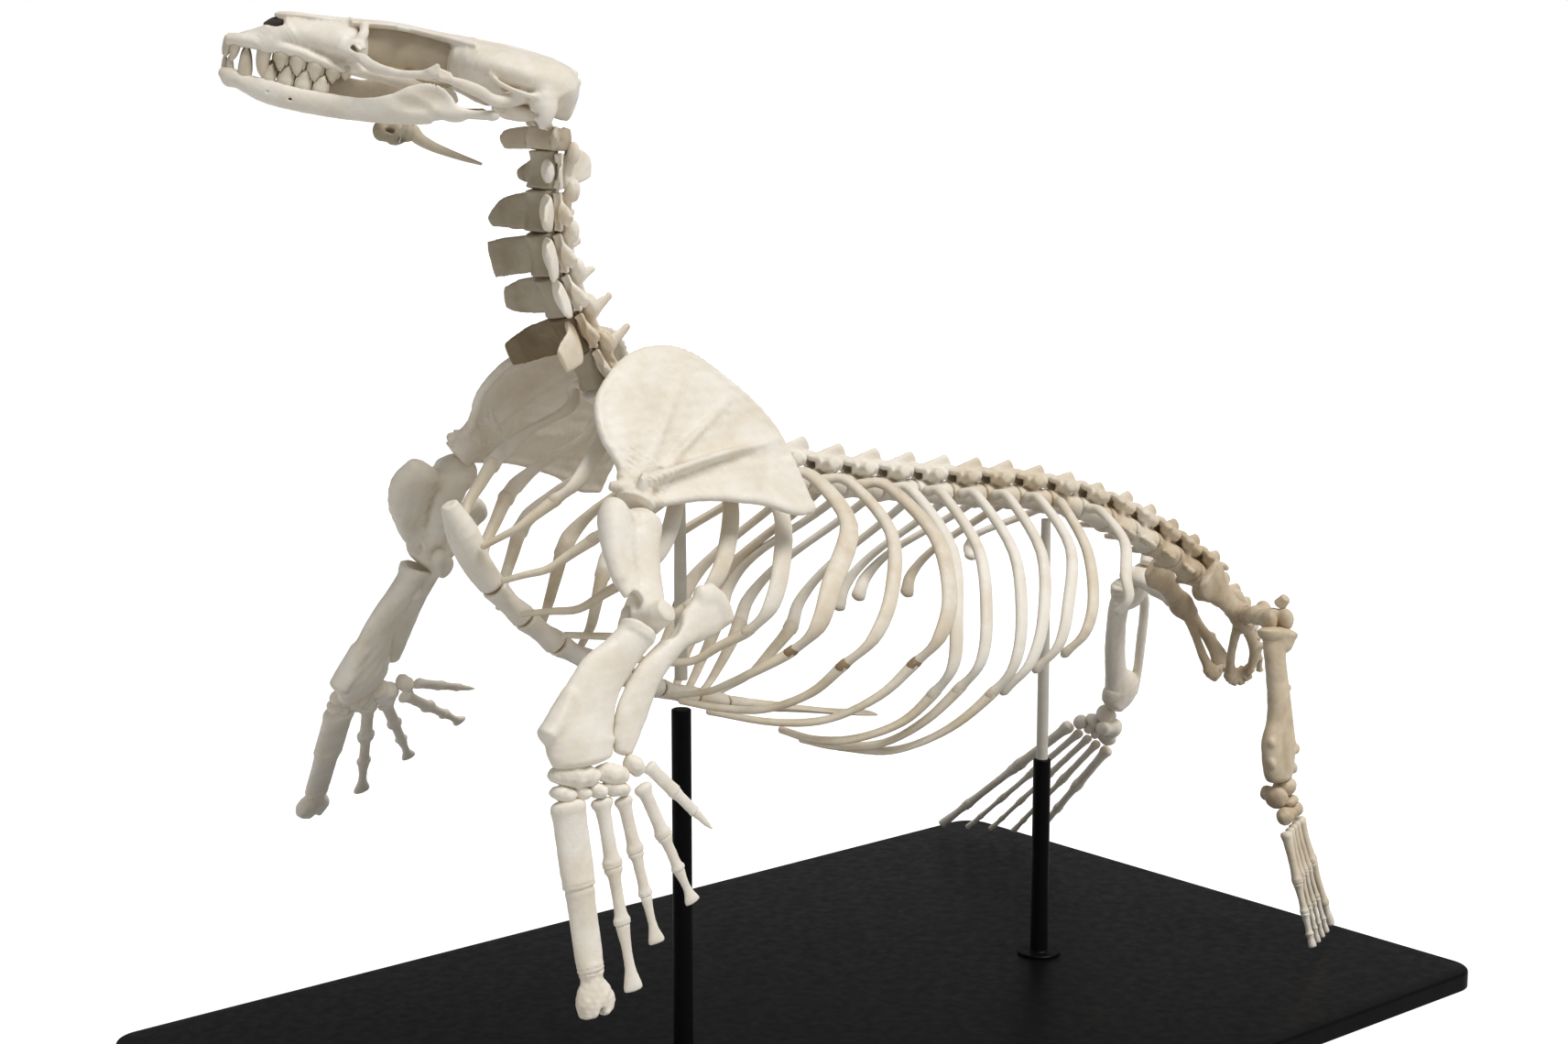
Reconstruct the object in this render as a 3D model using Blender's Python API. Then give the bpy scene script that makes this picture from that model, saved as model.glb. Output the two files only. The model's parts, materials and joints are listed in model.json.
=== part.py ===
"""A mounted skeleton of a young sea lion on its display stand, life size, in metres.

The animal faces -X, its left side is towards -Y and +Z is up. The origin is the middle of the underside
of the base board. Bones that meet keep a gap of about GAP.
"""

import math

import bmesh
import bpy
import numpy as np

# ---- Driving dimensions ----

GAP = 0.0003

BASE_SIZE = (0.813, 0.519, 0.013)
BASE_CORNER = 0.012
BASE_EDGE = 0.0015

ROD_RADIUS = 0.00635
PIN_RADIUS = 0.0042
FOOT_RADIUS = 0.0155
FOOT_HEIGHT = 0.002
FRONT_ROD = (-0.142, -0.0275)
REAR_ROD = (0.190, -0.0290)
FRONT_ROD_TOP = 0.2488
REAR_ROD_TOP = 0.159

MID_Y = -0.0275  # the plane of symmetry of the trunk
SIDES = {"left": -1, "right": 1}

# Middle line of the vertebral bodies, (x, z), from the skull to the end of the tail.
SPINE_LINE = (
    (-0.2420, 0.6185), (-0.2440, 0.5950), (-0.2465, 0.5640), (-0.2435, 0.5370), (-0.2330, 0.5080),
    (-0.2180, 0.4790), (-0.1960, 0.4470), (-0.1540, 0.4188), (-0.0950, 0.3985), (-0.0060, 0.3787),
    (0.0900, 0.3631), (0.1576, 0.3534), (0.2218, 0.3386), (0.2794, 0.3153), (0.3281, 0.2896),
    (0.3744, 0.2607), (0.4078, 0.2377), (0.4280, 0.2140), (0.4370, 0.1850),
)
NECK_START = 0.0015
NECK_LENGTHS = (0.0140, 0.0230, 0.0250, 0.0260, 0.0258, 0.0258, 0.0252)
NECK_BODY = (0.0100, 0.0085)  # half-width and half-depth
NECK_ARCH = 0.0175  # half-width
THORAX_FIRST = 0.0298
THORAX_GROWTH = 0.0006
THORAX_LENGTH = 0.0330
THORAX_COUNT = 15
LUMBAR_LENGTH = 0.0280
LUMBAR_COUNT = 5
SACRUM_LENGTH = 0.0520
TAIL_LENGTH = 0.0500
TAIL_COUNT = 5

SKULL_PLACE = (-0.2419, MID_Y, 0.6205)
SKULL_YAW = math.radians(30)
SKULL_PITCH = math.radians(11.8)

# Joints of the limbs.
JOINTS = {
    "left": {
        "glenoid": (-0.2345, -0.0985, 0.4008),
        "shoulder": (-0.2400, -0.1050, 0.3920),
        "elbow": (-0.2570, -0.1450, 0.3330),
        "wrist": (-0.3133, -0.1600, 0.2649),
        "finger": (-0.3200, -0.1720, 0.1256),
        "hip": (0.3730, -0.0605, 0.2450),
        "knee": (0.3560, -0.1080, 0.2520),
        "ankle": (0.3440, -0.1250, 0.1310),
        "toe": (0.3600, -0.1560, 0.0150),
    },
    "right": {
        "glenoid": (-0.2640, 0.0400, 0.4170),
        "shoulder": (-0.2640, 0.0480, 0.4070),
        "elbow": (-0.2560, 0.0880, 0.3405),
        "wrist": (-0.2830, 0.1150, 0.2600),
        "finger": (-0.2720, 0.2080, 0.1590),
        "hip": (0.3730, 0.0055, 0.2450),
        "knee": (0.3770, 0.0540, 0.2620),
        "ankle": (0.3880, 0.0800, 0.1400),
        "toe": (0.3780, 0.2090, 0.0165),
    },
}

# Where chosen ribs run: the rib's number, x below its bend and low on its side, the chest's half-width
# there, and x, half-width and z of its bony end. The right side is given before its lift.
FRONT_RIBS = (
    (1, -0.205, -0.234, 0.036, -0.262, 0.032, 0.400),
    (3, -0.172, -0.195, 0.062, -0.225, 0.056, 0.352),
    (5, -0.098, -0.122, 0.080, -0.148, 0.073, 0.312),
    (6, -0.042, -0.085, 0.086, -0.117, 0.077, 0.295),
)
RIB_KEYS = {
    "left": FRONT_RIBS + (
        (7, -0.010, -0.037, 0.090, -0.077, 0.081, 0.281),
        (8, 0.026, 0.012, 0.093, -0.018, 0.084, 0.274),
        (9, 0.042, 0.017, 0.094, 0.000, 0.084, 0.252),
        (10, 0.067, 0.045, 0.094, 0.023, 0.084, 0.2515),
        (11, 0.101, 0.079, 0.093, 0.0535, 0.084, 0.2435),
        (12, 0.130, 0.102, 0.091, 0.067, 0.082, 0.243),
        (13, 0.161, 0.128, 0.089, 0.099, 0.081, 0.253),
        (14, 0.178, 0.156, 0.086, 0.129, 0.079, 0.259),
        (15, 0.223, 0.197, 0.078, 0.191, 0.072, 0.279),
    ),
    "right": FRONT_RIBS + (
        (7, -0.010, -0.037, 0.090, -0.077, 0.081, 0.281),
        (8, 0.015, -0.010, 0.093, -0.055, 0.084, 0.278),
        (9, 0.030, -0.007, 0.094, -0.039, 0.084, 0.271),
        (10, 0.053, 0.017, 0.094, -0.023, 0.084, 0.2605),
        (11, 0.092, 0.061, 0.093, 0.024, 0.084, 0.2515),
        (12, 0.130, 0.102, 0.091, 0.067, 0.082, 0.261),
        (13, 0.157, 0.120, 0.089, 0.085, 0.081, 0.266),
        (14, 0.178, 0.156, 0.086, 0.131, 0.079, 0.263),
        (15, 0.223, 0.197, 0.078, 0.189, 0.072, 0.284),
    ),
}
# The rib's number, then x, half-width and z of four places along its cartilage.
FRONT_CARTILAGES = (
    (1, -0.2735, 0.029, 0.3925, -0.285, 0.026, 0.385, -0.2925, 0.019, 0.3795, -0.300, 0.0125, 0.374),
    (3, -0.2375, 0.047, 0.343, -0.250, 0.038, 0.334, -0.261, 0.025, 0.332, -0.272, 0.0125, 0.330),
    (5, -0.1615, 0.0615, 0.3025, -0.175, 0.050, 0.293, -0.1935, 0.032, 0.2935, -0.212, 0.013, 0.296),
    (6, -0.138, 0.064, 0.2825, -0.1465, 0.053, 0.2755, -0.1535, 0.040, 0.269, -0.161, 0.013, 0.2625),
)
CARTILAGE_KEYS = {
    "left": FRONT_CARTILAGES + (
        (7, -0.0925, 0.068, 0.2635, -0.115, 0.050, 0.2535, -0.1355, 0.030, 0.254, -0.1525, 0.013, 0.258),
        (8, -0.039, 0.074, 0.2545, -0.068, 0.058, 0.241, -0.0985, 0.040, 0.2405, -0.130, 0.013, 0.2475),
        (9, -0.0185, 0.074, 0.234, -0.046, 0.060, 0.225, -0.0705, 0.048, 0.226, -0.091, 0.038, 0.234),
        (10, 0.002, 0.074, 0.2315, -0.0215, 0.060, 0.218, -0.0525, 0.050, 0.219, -0.079, 0.044, 0.227),
        (11, 0.0315, 0.074, 0.225, 0.0075, 0.064, 0.214, -0.0175, 0.056, 0.211, -0.0525, 0.050, 0.2185),
    ),
    "right": FRONT_CARTILAGES + (
        (7, -0.0945, 0.072, 0.268, -0.1145, 0.060, 0.2565, -0.1325, 0.036, 0.2555, -0.152, 0.013, 0.2585),
        (8, -0.0715, 0.073, 0.267, -0.092, 0.058, 0.2595, -0.1135, 0.038, 0.2545, -0.138, 0.013, 0.2555),
        (9, -0.056, 0.074, 0.260, -0.077, 0.059, 0.254, -0.102, 0.038, 0.251, -0.129, 0.014, 0.252),
        (10, -0.0395, 0.074, 0.253, -0.0605, 0.060, 0.248, -0.0865, 0.040, 0.2465, -0.116, 0.018, 0.248),
        (11, -0.002, 0.074, 0.2435, -0.031, 0.062, 0.2375, -0.0675, 0.044, 0.240, -0.104, 0.024, 0.2445),
    ),
}
RIB_LIFT = {"left": 0.0, "right": 0.014}  # the ribs of the right side end this much higher
RIBS_WITH_CARTILAGE = 11
RIB_WIDTH = 0.0048
RIB_THICKNESS = 0.0026

BONE_COLOUR = (0.80, 0.75, 0.66, 1.0)
BROWN_BONE_COLOUR = (0.52, 0.40, 0.26, 1.0)
STAND_COLOUR = (0.012, 0.012, 0.013, 1.0)
PIN_COLOUR = (0.62, 0.58, 0.50, 1.0)


# ---- Vectors, frames and closed shapes ----


def unit(vector):
    """The vector at length one."""
    vector = np.asarray(vector, float)
    return vector / np.linalg.norm(vector)


def square_to(vector, axis):
    """The unit vector nearest to `vector` that is square to `axis`."""
    axis = unit(axis)
    vector = np.asarray(vector, float)
    return unit(vector - axis * (vector @ axis))


class Frame:
    """A place with three axes, in which a bone is drawn before it is put in its place."""

    def __init__(self, origin, *axes):
        self.origin = np.asarray(origin, float)
        self.axes = np.array(axes)

    def at(self, *place):
        return self.origin + np.asarray(place, float) @ self.axes

    def rows(self, rows):
        """Tube rows in this frame as rows in the world."""
        return [(*self.at(*row[:3]), *row[3:]) for row in rows]


def curve(rows, steps):
    """A smooth curve through the rows, with this many steps from one row to the next."""
    rows = np.asarray(rows, float)
    ends = np.vstack([2 * rows[0] - rows[1], rows, 2 * rows[-1] - rows[-2]])
    found = []
    for before, a, b, after in zip(ends, ends[1:], ends[2:], ends[3:]):
        for t in np.arange(steps) / steps:
            bend = (2 * before - 5 * a + 4 * b - after) * t**2
            turn = (3 * a - before - 3 * b + after) * t**3
            found.append(0.5 * (2 * a + (b - before) * t + bend + turn))
    found.append(rows[-1])
    return np.array(found)


def skin(rings, folded=False):
    """A closed shape through rings of equally many points. Folded ends close across the ring."""
    count = len(rings[0])
    points = [point for ring in rings for point in ring]
    faces = []
    for start in range(0, len(points) - count, count):
        for k in range(count):
            after = (k + 1) % count
            faces.append((start + k, start + after, start + count + after, start + count + k))
    end = [tuple(range(count))]
    if folded:
        end = [(k, k + 1, count - 2 - k, count - 1 - k) for k in range(count // 2 - 1)]
    last = len(points) - count
    for face in end:
        faces.append(face[::-1])
        faces.append(tuple(last + k for k in face))
    return points, faces


def tube(rows, across, sides=6, steps=1):
    """A closed tube. A row is x, y, z, the half-width along `across` and the half-thickness."""
    rows = curve(rows, steps)
    places = rows[:, :3]
    fuller = 1 / math.sqrt(math.cos(math.pi / sides))
    angles = 2 * math.pi * (np.arange(sides) + 0.5) / sides
    rings = []
    for i, (place, wide, thick) in enumerate(zip(places, rows[:, 3], rows[:, 4])):
        ahead = unit(places[min(i + 1, len(places) - 1)] - places[max(i - 1, 0)])
        wide_axis = square_to(across, ahead)
        thick_axis = np.cross(ahead, wide_axis)
        offsets = np.outer(np.cos(angles) * wide, wide_axis)
        offsets += np.outer(np.sin(angles) * thick, thick_axis)
        rings.append(place + offsets * fuller)
    return skin(rings)


def plate(grid, normal, thickness):
    """A closed plate over a grid of points, with its thickness split on both sides."""
    grid = np.asarray(grid, float)
    normal = unit(normal)
    rings = []
    for line in grid:
        rings.append(list(line + normal * thickness / 2) + list(line[::-1] - normal * thickness / 2))
    return skin(rings, folded=True)


def box(low, high):
    """A closed box between two corners."""
    (x0, y0, z0), (x1, y1, z1) = low, high
    lower = [(x0, y0, z0), (x1, y0, z0), (x1, y1, z0), (x0, y1, z0)]
    upper = [(x0, y0, z1), (x1, y0, z1), (x1, y1, z1), (x0, y1, z1)]
    return skin([lower, upper])


# ---- Objects and materials ----


def clear_scene():
    for obj in list(bpy.data.objects):
        bpy.data.objects.remove(obj, do_unlink=True)


def material(name, colour, roughness, metallic=0.0):
    made = bpy.data.materials.new(name)
    made.use_nodes = True
    shader = made.node_tree.nodes["Principled BSDF"]
    shader.inputs["Base Color"].default_value = colour
    shader.inputs["Roughness"].default_value = roughness
    shader.inputs["Metallic"].default_value = metallic
    return made


def mesh_object(name, shape, collection):
    """An object of one closed shape, with its faces turned out."""
    points, faces = shape
    mesh = bpy.data.meshes.new(name)
    mesh.from_pydata([tuple(float(v) for v in point) for point in points], [], faces)
    work = bmesh.new()
    work.from_mesh(mesh)
    bmesh.ops.recalc_face_normals(work, faces=work.faces)
    work.to_mesh(mesh)
    work.free()
    obj = bpy.data.objects.new(name, mesh)
    collection.objects.link(obj)
    return obj


def as_helper(obj):
    obj.hide_render = True
    obj.display_type = "WIRE"


def bone(name, shapes, finish, keep=None):
    """One object joined from closed shapes that overlap, and cut to what lies inside `keep`."""
    scene = bpy.context.scene.collection
    obj = mesh_object(name, shapes[0], scene)
    obj.data.materials.append(finish)
    obj.data.shade_smooth()
    obj.data.set_sharp_from_angle(angle=math.radians(40))
    for i, shape in enumerate(shapes[1:]):
        piece = mesh_object(f"{name}_piece_{i + 1}", shape, scene)
        as_helper(piece)
        join = obj.modifiers.new(f"Join {i + 1}", "BOOLEAN")
        join.operation = "UNION"
        join.object = piece
    if keep:
        cutter = mesh_object(name + "_keep", keep, scene)
        as_helper(cutter)
        cut = obj.modifiers.new("Keep", "BOOLEAN")
        cut.operation = "INTERSECT"
        cut.object = cutter
    return obj


# ---- The stand ----


def make_base(finish):
    length, width, height = BASE_SIZE
    shape = box((-length / 2, -width / 2, 0), (length / 2, width / 2, height))
    board = mesh_object("stand_base", shape, bpy.context.scene.collection)
    board.data.materials.append(finish)
    work = bmesh.new()
    work.from_mesh(board.data)
    uprights = [edge for edge in work.edges if abs(edge.verts[0].co.z - edge.verts[1].co.z) > height / 2]
    bmesh.ops.bevel(work, geom=uprights, offset=BASE_CORNER, segments=3, profile=0.5, affect="EDGES")
    top = [edge for edge in work.edges if min(v.co.z for v in edge.verts) > height - 1e-5]
    bmesh.ops.bevel(work, geom=top, offset=BASE_EDGE, segments=1, profile=0.5, affect="EDGES")
    work.to_mesh(board.data)
    work.free()
    board.data.shade_smooth()
    board.data.set_sharp_from_angle(angle=math.radians(40))


def upright(place, levels, sides=12):
    """A turned upright. A level is its height and its radius there."""
    rows = [(*place, height, radius, radius) for height, radius in levels]
    return tube(rows, (1, 0, 0), sides)


def make_rods(finish, pin_finish):
    floor = BASE_SIZE[2] + GAP
    for name, place, top in (("front", FRONT_ROD, FRONT_ROD_TOP), ("rear", REAR_ROD, REAR_ROD_TOP)):
        flange = floor + FOOT_HEIGHT
        levels = [(floor, FOOT_RADIUS), (flange, FOOT_RADIUS), (flange, ROD_RADIUS), (top, ROD_RADIUS)]
        bone("stand_rod_" + name, [upright(place, levels)], finish)
    pins = (
        ("front", FRONT_ROD, FRONT_ROD_TOP + 0.0193, 0.4000),
        ("rear", REAR_ROD, REAR_ROD_TOP + GAP, 0.3345),
    )
    for name, place, low, high in pins:
        levels = [(low, PIN_RADIUS), (high, PIN_RADIUS)]
        bone("stand_pin_" + name, [upright(place, levels, 8)], pin_finish)


# ---- The spine ----


class Spine:
    """The middle line of the vertebral bodies, measured along its length."""

    def __init__(self):
        self.line = curve([(x, MID_Y, z) for x, z in SPINE_LINE], 12)
        steps = np.linalg.norm(np.diff(self.line, axis=0), axis=1)
        self.along = np.concatenate([[0], np.cumsum(steps)])

    def place(self, s):
        return np.array([np.interp(s, self.along, self.line[:, k]) for k in range(3)])

    def frame(self, s, yaw=0.0):
        """Axes of a vertebra: towards the head, towards the back, and to the animal's left."""
        forward = unit(self.place(s - 0.006) - self.place(s + 0.006))
        left = np.array([-math.sin(yaw), -math.cos(yaw), 0])
        left = square_to(left, forward)
        back = np.cross(forward, left)
        return Frame(self.place(s), forward, back, left)

    def bodies(self, sections, sides=6):
        """Vertebral bodies in one piece, from sections: distance along, half-width, half-depth."""
        angles = 2 * math.pi * (np.arange(sides) + 0.5) / sides
        fuller = 1 / math.sqrt(math.cos(math.pi / sides))
        rings = []
        for s, wide, deep in sections:
            frame = self.frame(s)
            around = zip(np.sin(angles) * deep * fuller, np.cos(angles) * wide * fuller)
            rings.append([frame.at(0, up, out) for up, out in around])
        return skin(rings)


def vertebra(frame, length, deep, wide, arch, spine, lamella=None, wing=None):
    """What grows from the body of one vertebra.

    deep and wide are the half-depth and half-width of its body. arch is the half-width of its arch.
    spine is the height of its spinous process above the body and the lean of the tip to the tail.
    lamella is how far a plate reaches sideways and towards the belly. wing is how far a transverse
    process reaches sideways and towards the back.
    """
    half = length / 2 - GAP / 2
    height, lean = spine
    shapes = []
    roof = deep * 1.4
    rows = [(half * 0.86, roof, 0, arch * 0.84, deep * 0.62), (0, roof, 0, arch * 0.7, deep * 0.72),
            (-half * 0.80, roof, 0, arch, deep * 0.62)]
    shapes.append(tube(frame.rows(rows), frame.axes[2], 6))
    if height:
        rows = [(0.2 * half, roof, 0, half * 0.62, 0.0030), (-lean, roof + height, 0, half * 0.24, 0.0016)]
        shapes.append(tube(frame.rows(rows), frame.axes[0], 4))
    for side in (1, -1):
        if lamella:
            out, down = lamella
            rows = [(0, -deep * 0.1, side * wide * 0.5, half * 0.75, 0.003),
                    (-0.1 * half, -down * 0.4, side * (wide + out) * 0.5, half * 0.8, 0.0024),
                    (-0.3 * half, -down, side * out, half * 0.6, 0.0014)]
            shapes.append(tube(frame.rows(rows), frame.axes[0], 4))
        if wing:
            out, up = wing
            rows = [(0, deep * 0.7, side * wide * 0.5, half * 0.5, 0.0032),
                    (-0.2 * half, deep * 0.7 + up, side * out, half * 0.35, 0.0018)]
            shapes.append(tube(frame.rows(rows), frame.axes[0], 4))
    return shapes


def make_neck(spine, finish, brown):
    s = NECK_START
    names = ("atlas", "axis", "cervical_3", "cervical_4", "cervical_5", "cervical_6", "cervical_7")
    spines = {"cervical_3": (0.013, 0.000), "cervical_4": (0.017, -0.003), "cervical_5": (0.022, -0.004),
              "cervical_6": (0.027, -0.006), "cervical_7": (0.030, -0.006)}
    lamellas = {"axis": (0.017, 0.006), "cervical_3": (0.027, 0.016), "cervical_4": (0.029, 0.017),
                "cervical_5": (0.028, 0.015), "cervical_6": (0.027, 0.028)}
    wings = {"cervical_3": 0.024, "cervical_4": 0.024, "cervical_5": 0.024, "cervical_6": 0.020,
             "cervical_7": 0.015}
    for i, (name, length) in enumerate(zip(names, NECK_LENGTHS)):
        frame = spine.frame(s + length / 2, math.radians(max(0, 14 - 7 * i)))
        if name == "atlas":
            bone(name, atlas(frame, length), finish)
        else:
            wide, deep = NECK_BODY
            body = spine.bodies([(s + GAP / 2, wide, deep), (s + length - GAP / 2, wide, deep)])
            wing = (wings[name], 0.0) if name in wings else None
            fin, lamella = spines.get(name, (0, 0)), lamellas.get(name)
            grown = vertebra(frame, length, deep, wide, NECK_ARCH, fin, lamella, wing)
            shapes = [body] + grown
            if name == "axis":
                shapes.append(axis_spine(frame, length))
            bone(name, shapes, brown if i > 4 else finish)
        s += length
    return s


def atlas(frame, length):
    """A thick ring with two broad wings that droop towards the belly."""
    half = length / 2 - GAP / 2
    rows = [(half * 0.95, 0.003, 0, 0.0150, 0.0120), (0, 0.003, 0, 0.0165, 0.0130),
            (-half * 0.86, 0.003, 0, 0.0150, 0.0115)]
    shapes = [tube(frame.rows(rows), frame.axes[2], 8)]
    for side in (1, -1):
        rows = [(0, 0.002, side * 0.010, half * 0.95, 0.0040),
                (-0.0005, -0.004, side * 0.026, half * 0.98, 0.0024),
                (-0.0020, -0.010, side * 0.041, half * 0.75, 0.0018)]
        shapes.append(tube(frame.rows(rows), frame.axes[0], 4))
    return shapes


def axis_spine(frame, length):
    """The long blade of the axis, which leans over the vertebrae on both sides of it."""
    half = length / 2 - GAP / 2
    rows = [(half * 0.3, 0.011, 0, 0.0070, 0.0030), (half * 0.1, 0.021, 0, 0.0110, 0.0028),
            (-half * 0.4, 0.0250, 0, 0.0070, 0.0022)]
    return tube(frame.rows(rows), frame.axes[1], 6)


def thorax_length(i):
    return min(THORAX_FIRST + THORAX_GROWTH * i, THORAX_LENGTH)


def thorax_column(spine, start):
    """Shapes of the chest's vertebrae, whole, and where each rib's head sits."""
    sections = []
    shapes = []
    heads = []
    s = start + GAP / 2
    for i in range(THORAX_COUNT):
        length = thorax_length(i)
        sections.append((s, 0.0108, 0.0092))
        frame = spine.frame(s + length * 0.5)
        rise = np.interp(i, (0, 2, 6, 14), (0.0155, 0.0165, 0.0115, 0.0085))
        lean = np.interp(i, (0, 4, 9, 14), (0.006, 0.014, 0.016, 0.008))
        blade = [(length * 0.08, 0.006, 0, length * 0.32, 0.0050),
                 (-lean, 0.010 + rise, 0, length * 0.16, 0.0018)]
        shapes.append(tube(frame.rows(blade), frame.axes[0], 4))
        heads.append(spine.place(s + length * 0.12))
        s += length
    sections.append((s - GAP, 0.0108, 0.0092))
    return [spine.bodies(sections)] + shapes, heads, s


def between_keys(keys, number):
    """The values of a rib, read between the ribs that the table holds."""
    keys = np.array(keys, float)
    return np.array([np.interp(number, keys[:, 0], column) for column in keys[:, 1:].T])


def rib(number, head, side):
    """A rib with its cartilage, from the vertebra round the chest to the breastbone."""
    bend_x, low_x, wide, end_x, end_w, end_z = between_keys(RIB_KEYS[side], number)
    sign = SIDES[side]
    lift = RIB_LIFT[side]
    x, _, z = head
    depth = z - end_z
    course = (
        # x, half-width of the chest, how far down
        (bend_x * 0.85 + low_x * 0.15, wide * 0.64, 0.28),
        (low_x, wide * 0.92, 0.60),
        (low_x * 0.45 + end_x * 0.55, wide, 0.84),
        (end_x, end_w, 1.0),
    )
    rows = [(x, MID_Y + sign * 0.006, z, 0.0034, 0.0034),
            (x * 0.4 + bend_x * 0.6, MID_Y + sign * 0.024, z, 0.0040, 0.0034)]
    for rib_x, out, down in course:
        rows.append((rib_x, MID_Y + sign * out, z - depth * down + lift * down, RIB_WIDTH, RIB_THICKNESS))
    if number <= RIBS_WITH_CARTILAGE:
        places = between_keys(CARTILAGE_KEYS[side], number).reshape(-1, 3)
        for k, (place_x, out, place_z) in enumerate(places):
            raised = place_z + lift * (3 - k) / 4
            rows.append((place_x, MID_Y + sign * out, raised, 0.0038, 0.0028))
    return tube(rows, (1, 0, 0.2), 4)


def make_rib_cage(spine, start, finish):
    column, heads, end = thorax_column(spine, start)
    far = 1.0
    for name, sign in SIDES.items():
        ribs = [rib(i + 1, head, name) for i, head in enumerate(heads)]
        edge = MID_Y + sign * GAP / 2
        keep = box((-far, min(edge, sign * far), -far), (far, max(edge, sign * far), far))
        bone("rib_cage_" + name, column + ribs, finish, keep)
    return end


STERNUM_ROWS = (
    # x, z, half-width, half-depth
    (-0.314, 0.398, 0.0050, 0.0060), (-0.306, 0.381, 0.0105, 0.0100), (-0.295, 0.360, 0.0080, 0.0095),
    (-0.280, 0.342, 0.0095, 0.0080), (-0.262, 0.324, 0.0075, 0.0070), (-0.244, 0.309, 0.0095, 0.0080),
    (-0.220, 0.294, 0.0070, 0.0062), (-0.192, 0.279, 0.0090, 0.0072), (-0.165, 0.267, 0.0070, 0.0060),
    (-0.138, 0.2575, 0.0085, 0.0068), (-0.110, 0.2490, 0.0070, 0.0055), (-0.060, 0.2370, 0.0055, 0.0032),
    (-0.015, 0.2270, 0.0075, 0.0024), (0.022, 0.2200, 0.0085, 0.0018),
)


def make_sternum(finish):
    rows = [(x, MID_Y, z, wide, deep) for x, z, wide, deep in STERNUM_ROWS]
    bone("sternum", [tube(rows, (0, 1, 0), 6)], finish)


def make_lumbar(spine, start, finish):
    sections = []
    shapes = []
    s = start + GAP / 2
    for i in range(LUMBAR_COUNT):
        sections.append((s, 0.0118, 0.0100))
        frame = spine.frame(s + LUMBAR_LENGTH * 0.5)
        blade = [(0.003, 0.004, 0, 0.0095, 0.0085), (-0.004, 0.017, 0, 0.0078, 0.0030),
                 (-0.009, 0.0245, 0, 0.0048, 0.0026)]
        shapes.append(tube(frame.rows(blade), frame.axes[0], 4))
        for side in (1, -1):
            wing = [(-0.002, 0.000, side * 0.006, 0.0075, 0.0034),
                    (0.007, -0.006, side * (0.027 - 0.0027 * i), 0.0030, 0.0015)]
            shapes.append(tube(frame.rows(wing), frame.axes[0], 4))
        s += LUMBAR_LENGTH
    sections.append((s - GAP, 0.0118, 0.0100))
    bone("lumbar_vertebrae", [spine.bodies(sections)] + shapes, finish)
    return s


def make_sacrum(spine, start, finish):
    s = start + GAP / 2
    sections = ((0, 0.0118, 0.0095), (0.3, 0.0120, 0.0085), (0.6, 0.0085, 0.0070), (0.995, 0.0065, 0.0060))
    shapes = [spine.bodies([(s + part * SACRUM_LENGTH, wide, deep) for part, wide, deep in sections])]
    for part in (0.22, 0.52, 0.82):
        frame = spine.frame(s + part * SACRUM_LENGTH)
        blade = [(0.002, 0.004, 0, 0.0085, 0.0060), (-0.003, 0.017 - 0.005 * part, 0, 0.0050, 0.0025)]
        shapes.append(tube(frame.rows(blade), frame.axes[0], 4))
    frame = spine.frame(s + 0.22 * SACRUM_LENGTH)
    for side in (1, -1):
        wing = [(0, 0, side * 0.005, 0.0120, 0.0060), (0, -0.001, side * 0.0195, 0.0095, 0.0075)]
        shapes.append(tube(frame.rows(wing), frame.axes[0], 6))
    bone("sacrum", shapes, finish)
    return s + SACRUM_LENGTH


def make_tail(spine, start, finish):
    rows = []
    step = TAIL_LENGTH / TAIL_COUNT
    for i in range(TAIL_COUNT):
        size = 0.0066 * (1 - 0.14 * i)
        for part, fuller in ((0.02, 1.0), (0.5, 0.68), (0.96, 1.0)):
            place = spine.place(start + GAP + (i + part) * step)
            rows.append((*place, size * fuller * 1.25, size * fuller))
    bone("tail_vertebrae", [tube(rows, (0, 1, 0), 5)], finish)


# ---- The head ----


def skull_frame():
    forward = unit((
        -math.cos(SKULL_YAW) * math.cos(SKULL_PITCH),
        math.sin(SKULL_YAW) * math.cos(SKULL_PITCH),
        math.sin(SKULL_PITCH),
    ))
    left = unit((-math.sin(SKULL_YAW), -math.cos(SKULL_YAW), 0))
    return Frame(SKULL_PLACE, forward, left, np.cross(forward, left))


SKULL_ROWS = (
    # distance in front of the condyles, half-width, bottom, top
    (-0.0150, 0.0180, 0.0110, 0.0300), (-0.0080, 0.0330, 0.0020, 0.0350), (0.0100, 0.0400, -0.0010, 0.0375),
    (0.0320, 0.0385, 0.0035, 0.0378), (0.0520, 0.0290, 0.0035, 0.0375), (0.0700, 0.0175, 0.0040, 0.0375),
    (0.0880, 0.0130, 0.0060, 0.0388), (0.1030, 0.0190, 0.0050, 0.0388), (0.1180, 0.0225, 0.0030, 0.0345),
    (0.1360, 0.0190, 0.0025, 0.0322), (0.1560, 0.0170, 0.0030, 0.0305), (0.1680, 0.0165, 0.0035, 0.0275),
    (0.1750, 0.0150, 0.0040, 0.0172), (0.1880, 0.0110, 0.0045, 0.0120),
)


CHEEK_ARCH = (
    # in front of the condyles, sideways, up, half-width, half-height
    (0.1170, 0.0170, 0.0150, 0.0050, 0.0060), (0.1080, 0.0300, 0.0100, 0.0022, 0.0050),
    (0.0920, 0.0405, 0.0080, 0.0020, 0.0036), (0.0680, 0.0480, 0.0105, 0.0020, 0.0042),
    (0.0450, 0.0480, 0.0095, 0.0021, 0.0040), (0.0270, 0.0430, 0.0075, 0.0030, 0.0034),
    (0.0150, 0.0350, 0.0085, 0.0045, 0.0050),
)


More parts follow.
